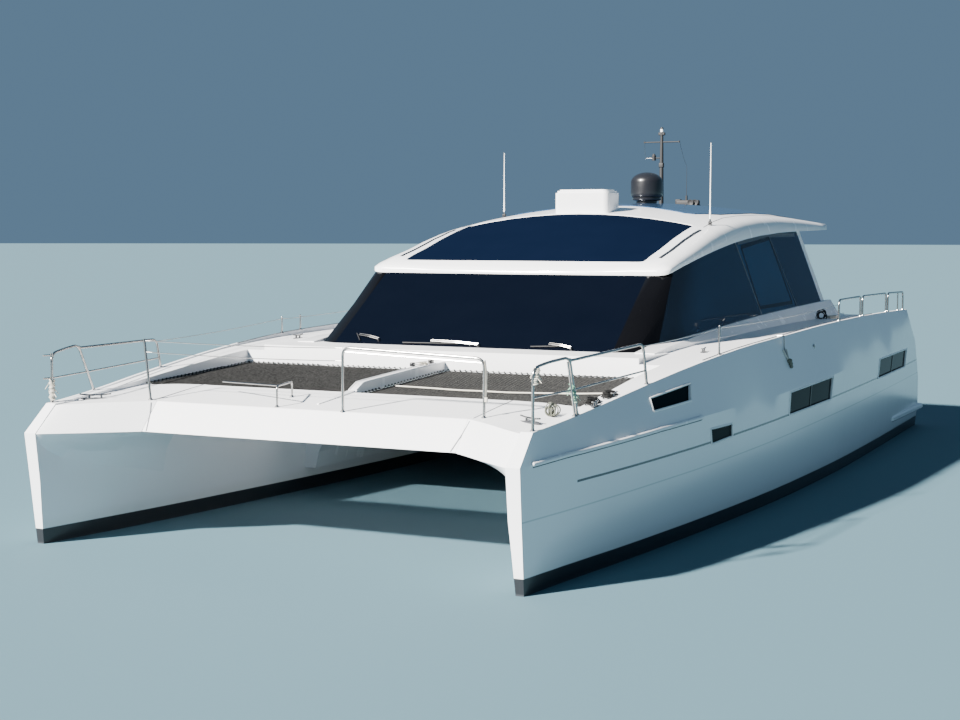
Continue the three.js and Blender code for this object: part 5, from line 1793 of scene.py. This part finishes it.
    def hull_trim(self, name: str, side: int) -> None:
        """Makes the vent in one topside and a dark line of painted shadow just inboard of its deck's edge.

        Args:
            name: The side's name.
            side: 1 for port or -1 for starboard.
        """
        vent = Piece(f"hull_vent_{name}", slot="stainless")
        at = Surface(self.frame, f"hull_{name}").beside(-0.514, 2.36, side)
        vent.take(Finish.STEEL, rod(at, at + Vector((0, 0.012 * side, 0)), 0.045, 0.038, 20))
        vent.take(Finish.BLACK, rod(at, at + Vector((0, 0.014 * side, 0)), 0.024, 0.022))
        vent.done()
        # Painted shadow: a dark pipe just inboard of the deck's edge stands in for the shadow of the toe.
        toe = Piece(f"toe_shadow_{name}", slot="black_plastic")
        lift = Vector((0, -0.02 * side, 0.005))
        edge = [self.deck.toe(4.6 - 0.5 * step, side) + lift for step in range(21)]
        toe.take(Finish.SHADOW, pipe(edge, 0.007, sides=6))
        toe.done()

    def fender_hook(self) -> None:
        """Makes the fender hook on the port deck's edge, with its loose strands and knots."""
        hull = Surface(self.frame, "hull_port")
        hook = Piece("fender_hook", slot="stainless")
        x = self.hook_x
        edge = hull.beside(x, 2.43, 1, 0.012)
        inner = self.deck.below(x, edge.y - 0.12, 0.012, 3.4)
        lip = Vector((x, edge.y - 0.01, inner.z + 0.012))
        low = hull.beside(x, edge.z - 0.16, 1, 0.012)
        hook.take(Finish.STEEL, pipe([inner, lip, edge, low], 0.011, 0.03, 8))
        drops = (0.0, 0.33, 0.67, 1.0)
        for shift in (-0.06, 0.12):
            spots = [(x + shift * (1 - drop), edge.z - 0.03 - 0.20 * drop) for drop in drops]
            hook.take(Finish.LINE, pipe([hull.beside(*spot, 1, 0.020) for spot in spots], 0.013, sides=8))
        for turn in range(3):
            radius = 0.044 - 0.006 * turn
            spot = (x + 0.012 * math.cos(turn * 2.1), edge.z - 0.22 - 0.045 * turn)
            hook.take(Finish.OLD_LINE, knot(hull.beside(*spot, 1, radius * 0.8), radius, 2))
        hook.done()

    def spine(self) -> None:
        """Trims both edges of the spine, adds its wedge at the beam and lays a tackle at its aft end."""
        piece = Piece("spine_lacing", slot="net")
        top = Surface(self.frame, "net_spine")
        for side in (1, -1):
            trim = [top.below(7.70 - step * 0.2, 0.058 * side, 0.003, 3.5) for step in range(13)]
            piece.take(Finish.GELCOAT, pipe(trim, 0.010, sides=8))
        nose = Surface(self.frame, "bow_beam", "net_spine")
        foot = [nose.below(7.80, y, -0.004, 3.5) for y in (-0.062, 0.062)]
        tip = [nose.below(8.62, y, -0.004, 3.5) for y in (-0.018, 0.018)]
        crest = top.below(7.70, 0.0, 0.0, 3.5).z
        high = [Vector((7.72, at.y, crest)) for at in foot]
        wedge = bmesh.new()
        for at in (*foot, *tip, *high, *(at + upward(0.018) for at in tip)):
            wedge.verts.new(at)
        bmesh.ops.convex_hull(wedge, input=wedge.verts[:])
        flat = math.radians(1)
        bmesh.ops.dissolve_limit(wedge, angle_limit=flat, verts=wedge.verts[:], edges=wedge.edges[:])
        bmesh.ops.recalc_face_normals(wedge, faces=wedge.faces[:])
        ease(wedge, 0.008)
        piece.take(Finish.GELCOAT, wedge)
        head = top.below(5.35, 0.0, 0.0, 3.5)
        for aft, fore, tall in ((-0.05, 0.05, 0.07), (0.55, 0.64, 0.06)):
            low, high = Vector((aft, -0.03, -0.002)), Vector((fore, 0.03, tall))
            piece.take(Finish.BLACK, cuboid(head + low, head + high, 0.015))
        for lift in (0.02, 0.045):
            ends = [head + upward(lift), head + Vector((0.6, 0.01, lift))]
            piece.take(Finish.LINE, pipe(ends, 0.006, sides=7))
        self.coil(piece, head + Vector((0.25, 0.0, 0.0)), 0.05, 5, Finish.LINE, 1.2)
        piece.done()


@dataclass
class RoofGear:
    """What stands on the roof: the dome, the pole for lights, the aerials, the horns and the painted shade of
    the side slots.

    A row of the pole gives its lower and upper height, its lower and upper radius and its finish.
    """

    frame: dict
    dome_at: Point = (-3.95, 0.03)
    dome_foot: tuple[Point, ...] = (
        (0.0, -0.03),
        (0.21, -0.03),
        (0.21, 0.035),
        (0.23, 0.045),
        (0.285, 0.058),
        (0.294, 0.075),
        (0.296, 0.105),
        (0.286, 0.112),
        (0.286, 0.120),
        (0.310, 0.128),
        (0.322, 0.150),
        (0.325, 0.20),
        (0.325, 0.42),
    )
    pole_x: float = -4.9
    pole: tuple[tuple[float, float, float, float, Finish], ...] = (
        (6.09, 6.36, 0.036, 0.030, Finish.RUBBER),
        (6.36, 6.44, 0.038, 0.038, Finish.RUBBER),
        (6.44, 6.50, 0.030, 0.030, Finish.WHITE),
        (6.50, 6.535, 0.036, 0.024, Finish.RUBBER),
    )
    whips: tuple[tuple[str, float, float], ...] = (("port", -0.774, 2.425), ("starboard", -1.75, -2.14))
    slot_fore: tuple[Point, ...] = ((1.884, 2.443), (1.10, 2.437), (0.339, 2.43), (-0.195, 2.432))
    slot_aft: tuple[Point, ...] = (
        (-0.45, 2.41),
        (-1.087, 2.359),
        (-1.807, 2.317),
        (-2.9, 2.33),
        (-5.0, 2.36),
        (-7.6, 2.34),
    )

    def build(self) -> None:
        """Makes each piece."""
        self.roof = Surface(self.frame, "roof", "roof_panel", "upper_screen")
        self.dome()
        self.mast()
        for whip in self.whips:
            self.whip(*whip)
        self.horns()
        self.slot_shades()

    def dome(self) -> None:
        """Turns the satellite dome and its foot."""
        _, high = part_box("satellite_dome")
        foot = self.roof.below(*self.dome_at).z
        radius, shoulder = self.dome_foot[-1]
        crown = high[2] - foot - shoulder
        arc = [step * math.pi / 36 for step in range(2, 19)]
        profile = [*self.dome_foot, *((radius * math.cos(a), shoulder + crown * math.sin(a)) for a in arc)]
        piece = Piece("dome", stands_for=("satellite_dome",), slot="black_plastic", crease=40)
        piece.take(Finish.BLACK, turned(profile, Matrix.Translation((*self.dome_at, foot)), 48))
        piece.done()

    def mast(self) -> None:
        """Makes the pole with its crosstree, lights and camera."""
        x = self.pole_x
        foot = self.roof.below(x, 0.0).z
        piece = Piece("light_pole", stands_for=("nav_mast",), slot="black_plastic")
        piece.take(Finish.RUBBER, rod((x, 0, foot), (x, 0, foot + 0.02), 0.075, 0.07, 24))
        piece.take(Finish.RUBBER, rod((x, 0, foot), (x, 0, 6.10), 0.050, 0.036, 20))
        for low, high, radius, end_radius, finish in self.pole:
            piece.take(finish, rod((x, 0, low), (x, 0, high), radius, end_radius, 20))
        piece.take(
            Finish.RUBBER,
            pipe([(x, -0.39, 6.23), (x, 0.39, 6.23)], 0.013),
            *(rod((x, y, 6.215), (x, y, 6.25), 0.02, sides=12) for y in (-0.38, 0.38)),
            cuboid((x - 0.03, -0.07, 6.37), (x + 0.03, 0.07, 6.43), 0.012),
            pipe([(x, 0, 5.90), (x, -0.20, 5.90)], 0.012),
            rod((x, -0.17, 5.85), (x, -0.17, 5.95), 0.042, 0.045, 18),
            rod((x, -0.17, 5.95), (x, -0.17, 5.99), 0.045, 0.02, 18),
        )
        cable = [(x, -0.20, 5.90), (x, -0.36, 5.90), (x, -0.38, 6.23)]
        piece.take(Finish.STEEL, pipe(cable, 0.004, 0.03, 8))
        piece.take(Finish.RUBBER, cuboid((x - 0.03, -0.05, 5.70), (x + 0.05, 0.05, 5.80), 0.015))
        piece.done()

    def whip(self, name: str, x: float, y: float) -> None:
        """Makes a whip aerial on its ratchet foot.

        Args:
            name: Its side's name.
            x: Length.
            y: Breadth.
        """
        base = self.roof.below(x, y) - upward(0.004)
        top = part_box(f"whip_antenna_{name}")[1][2]
        piece = Piece(f"whip_{name}", stands_for=(f"whip_antenna_{name}",), slot="gelcoat")
        pin = [base + Vector((0, y, 0.05)) for y in (-0.028, 0.028)]
        piece.take(
            Finish.RUBBER,
            cuboid(base - Vector((0.036, 0.03, 0)), base + Vector((0.036, 0.03, 0.022)), 0.006),
            rod(*pin, 0.026, sides=20),
        )
        piece.take(Finish.STEEL, rod(base + upward(0.03), base + upward(0.115), 0.020, 0.016))
        piece.take(
            Finish.WHITE,
            rod(base + upward(0.11), base + upward(0.30), 0.0145, 0.0135, 14),
            rod(base + upward(0.29), (base.x, base.y, top), 0.0115, 0.006, 12),
        )
        piece.done()

    def horns(self) -> None:
        """Makes the twin horns, the lamp and the thin aerial on their bracket."""
        piece = Piece("horns_and_lamp", stands_for=("roof_horns",), slot="black_plastic")
        x, z = -6.70, 4.99
        foot = self.roof.below(x, -0.03).z
        parts = [
            cuboid((x - 0.05, -0.30, z - 0.05), (x + 0.05, 0.235, z + 0.075), 0.03),
            cuboid((x - 0.05, -0.06, foot - 0.003), (x + 0.05, 0.0, z - 0.05), 0.008),
            cuboid((x - 0.055, -0.32, z - 0.055), (x + 0.055, 0.245, z - 0.03), 0.008),
        ]
        for y, length in ((0.09, 0.20), (0.18, 0.16)):
            place = Matrix.Translation((x - 0.12, y, z + 0.015)) @ Matrix.Rotation(math.pi / 2, 4, "Y")
            flare = [(0, 0), (0.026, 0), (0.028, 0.03), (0.012, 0.04), (0.013, 0.12), (0.022, 0.20)]
            mouth = ((0.05, 0.12), (0.068, 0.124), (0.045, 0.115), (0, 0.10))
            flare += [(radius, height + length) for radius, height in mouth]
            parts.append(turned(flare, place, 24))
        aerial = Vector((x, -0.065, 5.80))
        stay = enumerate(along([(self.pole_x, 0.39, 6.24), aerial], 8))
        stay = [Vector(at) - upward(0.05 * math.sin(math.pi * step / 8)) for step, at in stay]
        parts += [
            cuboid((x - 0.085, -0.325, z - 0.03), (x + 0.015, -0.195, z + 0.095), 0.02),
            rod((x, -0.065, z - 0.04), (x, -0.065, z + 0.175), 0.026, 0.022),
            rod((x, -0.065, z + 0.17), aerial + upward(0.005), 0.006, 0.003, 8),
            pipe(stay, 0.003, sides=6),
        ]
        piece.take(Finish.RUBBER, *parts)
        piece.done()

    def slot_shades(self) -> None:
        """Lays black strips as painted shade of the slot that runs along each shoulder of the roof."""
        for name, side in SIDES.items():
            piece = Piece(f"roof_slot_shade_{name}", slot="black_plastic")
            # Painted shade: flattened black strips stand in for the shade inside the slot.
            for route, radius in ((self.slot_fore, 0.034), (self.slot_aft, 0.008)):
                points = [self.roof.below(x, side * y, 0.001) for x, y in along(route, 8)]
                piece.take(Finish.BLACK, pipe(points, radius, sides=8, flat=0.35))
            piece.done()


@dataclass
class Wipers:
    """The three windscreen wipers, parked low on the glass.

    A row gives a wiper's pivot and the two ends of its blade, each across and up the glass.
    """

    frame: dict
    foot: Point = (4.11, 0, 2.485)
    head: Point = (2.465, 0, 3.62)
    rise: float = 0.03
    table: tuple[tuple[Point, Point, Point], ...] = (
        ((0.18, 0.03), (-1.20, 0.04), (-0.20, 0.06)),
        ((1.79, 0.03), (1.10, 0.05), (1.69, 0.09)),
        ((-1.68, 0.09), (-2.16, 0.24), (-2.02, 0.06)),
    )

    def build(self) -> None:
        """Makes each wiper."""
        up = (Vector(self.head) - Vector(self.foot)).normalized()
        out = Vector((-up.z, 0, up.x))
        out = out if out.x > 0 else -out

        def place(spot: Point, rise: float) -> Vector:
            """Gives the point over a place on the glass."""
            return Vector(self.foot) + up * spot[1] + Vector((0, spot[0], 0)) + out * rise

        for index, (pivot, near, far) in enumerate(self.table):
            piece = Piece(f"wiper_{index + 1}", slot="black_plastic")
            middle = tuple((a + b) / 2 for a, b in zip(near, far))
            piece.take(Finish.BLACK, rod(place(pivot, -0.002), place(pivot, self.rise * 1.4), 0.026, 0.020))
            for shift in (0.0, 0.035):
                a = place(pivot, self.rise * 1.2) + up * shift
                b = place(middle, self.rise * 1.2) + up * (shift + 0.04)
                piece.take(Finish.STEEL, pipe([a, a.lerp(b, 0.5) + out * 0.012, b], 0.0075, 0.05, 8))
            blade = [place(near, 0.014).lerp(place(far, 0.014), step / 4) for step in range(5)]
            spine = [at + out * 0.012 for at in blade]
            piece.take(Finish.RUBBER, pipe(spine, 0.009, sides=8), pipe(blade, 0.006, sides=6))
            piece.done()


class Softness(Enum):
    """How hard a cushion is stuffed: its blow-up pressure and how far a point may move."""

    SEAT = (3.0, 0.022)
    BACK = (2.4, 0.018)


@dataclass
class Cushion:
    """A stuffed cushion, blown up in a cloth simulation from a slightly smaller block."""

    name: str
    low: Point
    high: Point
    softness: Softness = Softness.SEAT
    frames: int = 20

    def build(self) -> None:
        """Makes the cushion."""
        spare = self.softness.value[1] * 0.55
        inset = Vector((0.004, 0.004, spare * 0.6))
        block = cuboid(Vector(self.low) + inset, Vector(self.high) - inset, 0.028)
        made = bpy.data.objects.new(self.name, as_mesh(block, self.name))
        bpy.context.scene.collection.objects.link(made)
        remesh = made.modifiers.new("remesh", "REMESH")
        remesh.mode = "VOXEL"
        remesh.voxel_size = 0.022
        self.apply(made)
        self.blow_up(made)
        smooth = made.modifiers.new("smooth", "SUBSURF")
        smooth.levels = smooth.render_levels = 1
        self.apply(made)
        for polygon in made.data.polygons:
            polygon.use_smooth = True
        made.data.materials.append(Finish.LEATHER.material)
        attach(made, "boat")
        log.info("%s: %d faces", self.name, len(made.data.polygons))

    def apply(self, made: bpy.types.Object) -> None:
        """Turns the object's modifiers into its mesh.

        Args:
            made: The object.
        """
        graph = bpy.context.evaluated_depsgraph_get()
        fresh = bpy.data.meshes.new_from_object(made.evaluated_get(graph), depsgraph=graph)
        old = made.data
        made.modifiers.clear()
        made.data = fresh
        fresh.name = self.name
        bpy.data.meshes.remove(old)

    def blow_up(self, made: bpy.types.Object) -> None:
        """Swells the cushion under pressure, with every point held within its reach.

        Args:
            made: The remeshed block.
        """
        start = [v.co.copy() for v in made.data.vertices]
        pressure, reach = self.softness.value
        cloth = made.modifiers.new("cloth", "CLOTH")
        cloth.settings.use_pressure = True
        cloth.settings.uniform_pressure_force = pressure
        cloth.settings.tension_stiffness = 12
        cloth.settings.effector_weights.gravity = 0
        cloth.point_cache.frame_end = self.frames
        scene = bpy.context.scene
        for frame in range(1, self.frames + 1):
            scene.frame_set(frame)
        self.apply(made)
        scene.frame_set(1)
        low, high = Vector(self.low), Vector(self.high)
        for vert, before in zip(made.data.vertices, start):
            move = vert.co - before
            if move.length > reach:
                move = move.normalized() * reach
            at = before + move
            vert.co = [min(max(value, a - 0.004), b + 0.004) for value, a, b in zip(at, low, high)]


@dataclass
class Furniture:
    """Seats, tables and joinery of the cockpit, saloon and helm."""

    frame: dict

    def build(self) -> None:
        """Makes each piece."""
        self.cockpit()
        self.sofa()
        self.console()
        self.wheel()
        self.helm_seat()
        self.table()
        self.galley()
        self.door()

    def cockpit(self) -> None:
        """Makes the cockpit bench: a moulded base and back, three seat and three back cushions."""
        base = Piece("bench_base", slot="gelcoat", stands_for=("cockpit_bench",))
        base.take(
            Finish.GELCOAT,
            cuboid((-8.25, -1.90, SOLE_Z), (-7.57, 1.90, 2.27), 0.03),
            cuboid((-8.28, -1.90, 2.2), (-8.235, 1.90, 2.74), 0.015),
        )
        base.done()
        for index in range(3):
            y0, y1 = -1.886 + index * 1.26, -0.634 + index * 1.26
            Cushion(f"bench_seat_{index + 1}", (-8.22, y0, 2.272), (-7.56, y1, 2.40)).build()
            back = (-8.233, y0, 2.41), (-8.115, y1, 2.755)
            Cushion(f"bench_back_{index + 1}", *back, Softness.BACK).build()

    def sofa(self) -> None:
        """Makes the saloon sofa: an oak base, four seat and four back cushions."""
        base = Piece("sofa_base", slot="joinery", stands_for=("saloon_sofa",))
        base.take(
            Finish.OAK,
            cuboid((-4.90, 1.56, SOLE_Z), (-1.30, 2.60, 2.25), 0.012),
            cuboid((-4.90, 2.56, 2.2), (-1.30, 2.62, 2.74), 0.012),
        )
        base.done()
        for index in range(4):
            x0, x1 = -4.896 + index * 0.90, -4.004 + index * 0.90
            Cushion(f"sofa_seat_{index + 1}", (x0, 1.505, 2.252), (x1, 2.45, 2.40)).build()
            Cushion(f"sofa_back_{index + 1}", (x0, 2.43, 2.41), (x1, 2.555, 2.775), Softness.BACK).build()

    def console(self) -> None:
        """Makes the helm console with its screens and buttons."""
        piece = Piece("console_shell", slot="gelcoat", stands_for=("helm_console",))
        piece.take(Finish.GELCOAT, merged(self.frame["nodes"]["helm_console"].data))
        slope = Vector((0.5, 0, 0.26)).normalized()
        out = Vector((-slope.z, 0, slope.x))
        long, wide = slope * 0.30, Vector((0, 0.42, 0))
        for y in (0.62, 1.16):
            at = Vector((2.52, y, 2.736))
            piece.take(Finish.BLACK, plate([at, at + long, at + long + wide, at + wide], out * 0.014, 0.004))
        buttons = [Vector((2.88, 0.60 + index * 0.05, 2.925)) for index in range(5)]
        piece.take(Finish.BLACK, *(rod(at, at + out * 0.022, 0.012, 0.010, 12) for at in buttons))
        piece.done()

    def wheel(self) -> None:
        """Makes the steering wheel on its tilted axis."""
        rake = 0.45
        axis = Vector((-math.cos(rake), 0, math.sin(rake)))
        tilt = Vector((0, 0, 1)).rotation_difference(axis).to_matrix().to_4x4()
        place = Matrix.Translation((2.36, 1.10, 2.76)) @ tilt
        piece = Piece("steering_wheel", stands_for=("helm_wheel",), body="helm_wheel", slot="black_plastic")
        rim = [place @ polar(0.19, 2 * math.pi * step / 48) for step in range(49)]
        piece.take(Finish.LEATHER, pipe(rim, 0.0145))
        for index in range(3):
            spoke = [place @ upward(-0.006), place @ polar(0.185, 2 * math.pi * index / 3)]
            piece.take(Finish.STEEL, pipe(spoke, 0.011, sides=10, flat=0.6))
        hub = [(0, -0.028), (0.043, -0.028), (0.045, 0.0), (0.034, 0.010), (0, 0.0135)]
        piece.take(Finish.BLACK, turned(hub, place, 28))
        piece.done()

    def helm_seat(self) -> None:
        """Makes the helm seat: its pedestal, two boards and two cushions."""
        x, y = 1.55, 1.10
        seat = Piece("helm_pedestal", slot="stainless", stands_for=("helm_seat",))
        seat.take(
            Finish.STEEL,
            rod((x, y, SOLE_Z), (x, y, SOLE_Z + 0.03), 0.20, 0.19, 32),
            rod((x, y, SOLE_Z + 0.02), (x, y, 2.37), 0.055, 0.05, 24),
        )
        seat.take(
            Finish.BLACK,
            cuboid((1.27, 0.82, 2.365), (1.80, 1.38, 2.395), 0.01),
            cuboid((1.202, 0.84, 2.365), (1.222, 1.36, 3.08), 0.008),
        )
        seat.done()
        Cushion("helm_seat_pad", (1.262, 0.81, 2.396), (1.845, 1.39, 2.518)).build()
        Cushion("helm_back_pad", (1.224, 0.825, 2.53), (1.328, 1.375, 3.115), Softness.BACK).build()

    def table(self) -> None:
        """Makes the saloon table on its pedestal."""
        piece = Piece("table_top_and_leg", stands_for=("saloon_table",), slot="joinery")
        outline = [(-3.70, 0.45, 2.648), (-2.10, 0.45, 2.648), (-2.10, 1.35, 2.648), (-3.70, 1.35, 2.648)]
        piece.take(Finish.OAK, plate(rounded(outline, 0.09), upward(0.042), 0.008))
        x, y = -2.9, 0.9
        piece.take(
            Finish.STEEL,
            rod((x, y, SOLE_Z), (x, y, 2.65), 0.055, 0.05, 28),
            rod((x, y, SOLE_Z), (x, y, SOLE_Z + 0.02), 0.17, 0.16, 32),
        )
        piece.done()

    def galley(self) -> None:
        """Makes the galley: a plinth, cabinet doors, a worktop, a sink and a hob."""
        piece = Piece("galley_units", stands_for=("galley",), slot="joinery")
        piece.take(Finish.BLACK, cuboid((-4.68, -2.64, SOLE_Z), (-0.92, -2.03, 2.05), 0.004))
        piece.take(Finish.OAK, cuboid((-4.70, -2.64, 2.04), (-0.90, -1.975, 2.83), 0.006))
        piece.take(Finish.GELCOAT, cuboid((-4.70, -2.64, 2.825), (-0.90, -1.95, 2.868), 0.008))
        for index in range(6):
            x = -4.68 + index * 0.625
            piece.take(Finish.OAK, cuboid((x, -1.982, 2.07), (x + 0.61, -1.958, 2.80), 0.006))
            handle = [(x + 0.22, -1.952, 2.74), (x + 0.39, -1.952, 2.74)]
            piece.take(Finish.STEEL, pipe(handle, 0.005, sides=8))
        piece.take(Finish.STEEL, cuboid((-3.4, -2.50, 2.8665), (-2.8, -2.08, 2.8705), 0.001))
        piece.take(Finish.BLACK, cuboid((-2.1, -2.52, 2.8665), (-1.5, -2.06, 2.8715), 0.001))
        piece.done()

    def door(self) -> None:
        """Makes the sliding door: a frame and its pane."""
        piece = Piece("door_leaf", stands_for=("sliding_door",), body="sliding_door", slot="side_glass")
        low, high = Vector((-5.406, -0.86, 1.9555)), Vector((-5.366, 0.86, 4.01))
        bar = 0.065
        for y0, y1 in ((low.y, low.y + bar), (high.y - bar, high.y)):
            piece.take(Finish.STEEL, cuboid((low.x, y0, low.z), (high.x, y1, high.z), 0.005))
        for z0, z1 in ((low.z, low.z + bar), (high.z - bar, high.z)):
            piece.take(Finish.STEEL, cuboid((low.x, low.y + bar, z0), (high.x, high.y - bar, z1), 0.005))
        inset = Vector((0.014, 0.06, 0.06))
        piece.take(Finish.DOOR, cuboid(low + inset, high - inset))
        piece.done()


@dataclass
class Stage:
    """The camera, the floor at the waterline, the sun and the sky."""

    place: Point = (27.063, 11.559, 4.261)
    yaw: float = math.radians(26.28)
    pitch: float = math.radians(4.40)
    roll: float = math.radians(0.095)
    focal_px: float = 1606.0
    width_px: float = 960.0

    def build(self) -> None:
        """Sets the camera, the floor and the lights."""
        self.camera()
        self.floor()
        self.lights()

    def camera(self) -> None:
        """Puts the camera where the photograph was taken from."""
        cy, sy, cp, sp = math.cos(self.yaw), math.sin(self.yaw), math.cos(self.pitch), math.sin(self.pitch)
        ahead = Vector((-cy * cp, -sy * cp, -sp))
        level = ahead.cross(Vector((0, 0, 1))).normalized()
        upright = level.cross(ahead)
        right = level * math.cos(self.roll) + upright * math.sin(self.roll)
        up = upright * math.cos(self.roll) - level * math.sin(self.roll)
        data = bpy.data.cameras.new("camera")
        data.sensor_width = 36
        data.lens = data.sensor_width * self.focal_px / self.width_px
        data.clip_start, data.clip_end = 0.1, 3000
        camera = bpy.data.objects.new("camera", data)
        camera.matrix_world = Matrix((*zip(right, up, -ahead, Vector(self.place)), (0, 0, 0, 1)))
        bpy.context.scene.collection.objects.link(camera)
        bpy.context.scene.camera = camera

    def floor(self) -> None:
        """Lays the plain pale floor at the waterline."""
        part = bmesh.new()
        bmesh.ops.create_circle(part, cap_ends=True, segments=64, radius=900)
        mesh = as_mesh(part, "floor")
        mesh.materials.append(Recipe("floor").surface(Base_Color=(0.072, 0.145, 0.180), Roughness=0.8))
        floor = bpy.data.objects.new("floor", mesh)
        bpy.context.scene.collection.objects.link(floor)

    def lights(self) -> None:
        """Sets a soft sun from ahead of the bows and an even sky."""
        data = bpy.data.lights.new("sun", "SUN")
        data.energy = 24.0
        data.angle = math.radians(2.5)
        data.color = (1.0, 0.965, 0.91)
        sun = bpy.data.objects.new("sun", data)
        sun.rotation_mode = "QUATERNION"
        sun.rotation_quaternion = Vector((0.74, -0.41, 0.54)).to_track_quat("Z", "Y")
        bpy.context.scene.collection.objects.link(sun)
        world = bpy.data.worlds.new("sky")
        world.use_nodes = True
        background = world.node_tree.nodes["Background"].inputs
        background["Color"].default_value = (0.38, 0.66, 1.0, 1)
        background["Strength"].default_value = 0.30
        bpy.context.scene.world = world


def main() -> None:
    """Loads the frame and builds each sub-assembly."""
    logging.basicConfig(level=logging.INFO, format="%(message)s")
    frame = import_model()
    Stage().build()
    for assembly in (Shells, Topsides, SidePanes, Rails, DeckGear, Nets, RoofGear, Wipers, Furniture):
        log.info("building %s", assembly.__name__)
        assembly(frame).build()


if __name__ == "__main__":
    main()
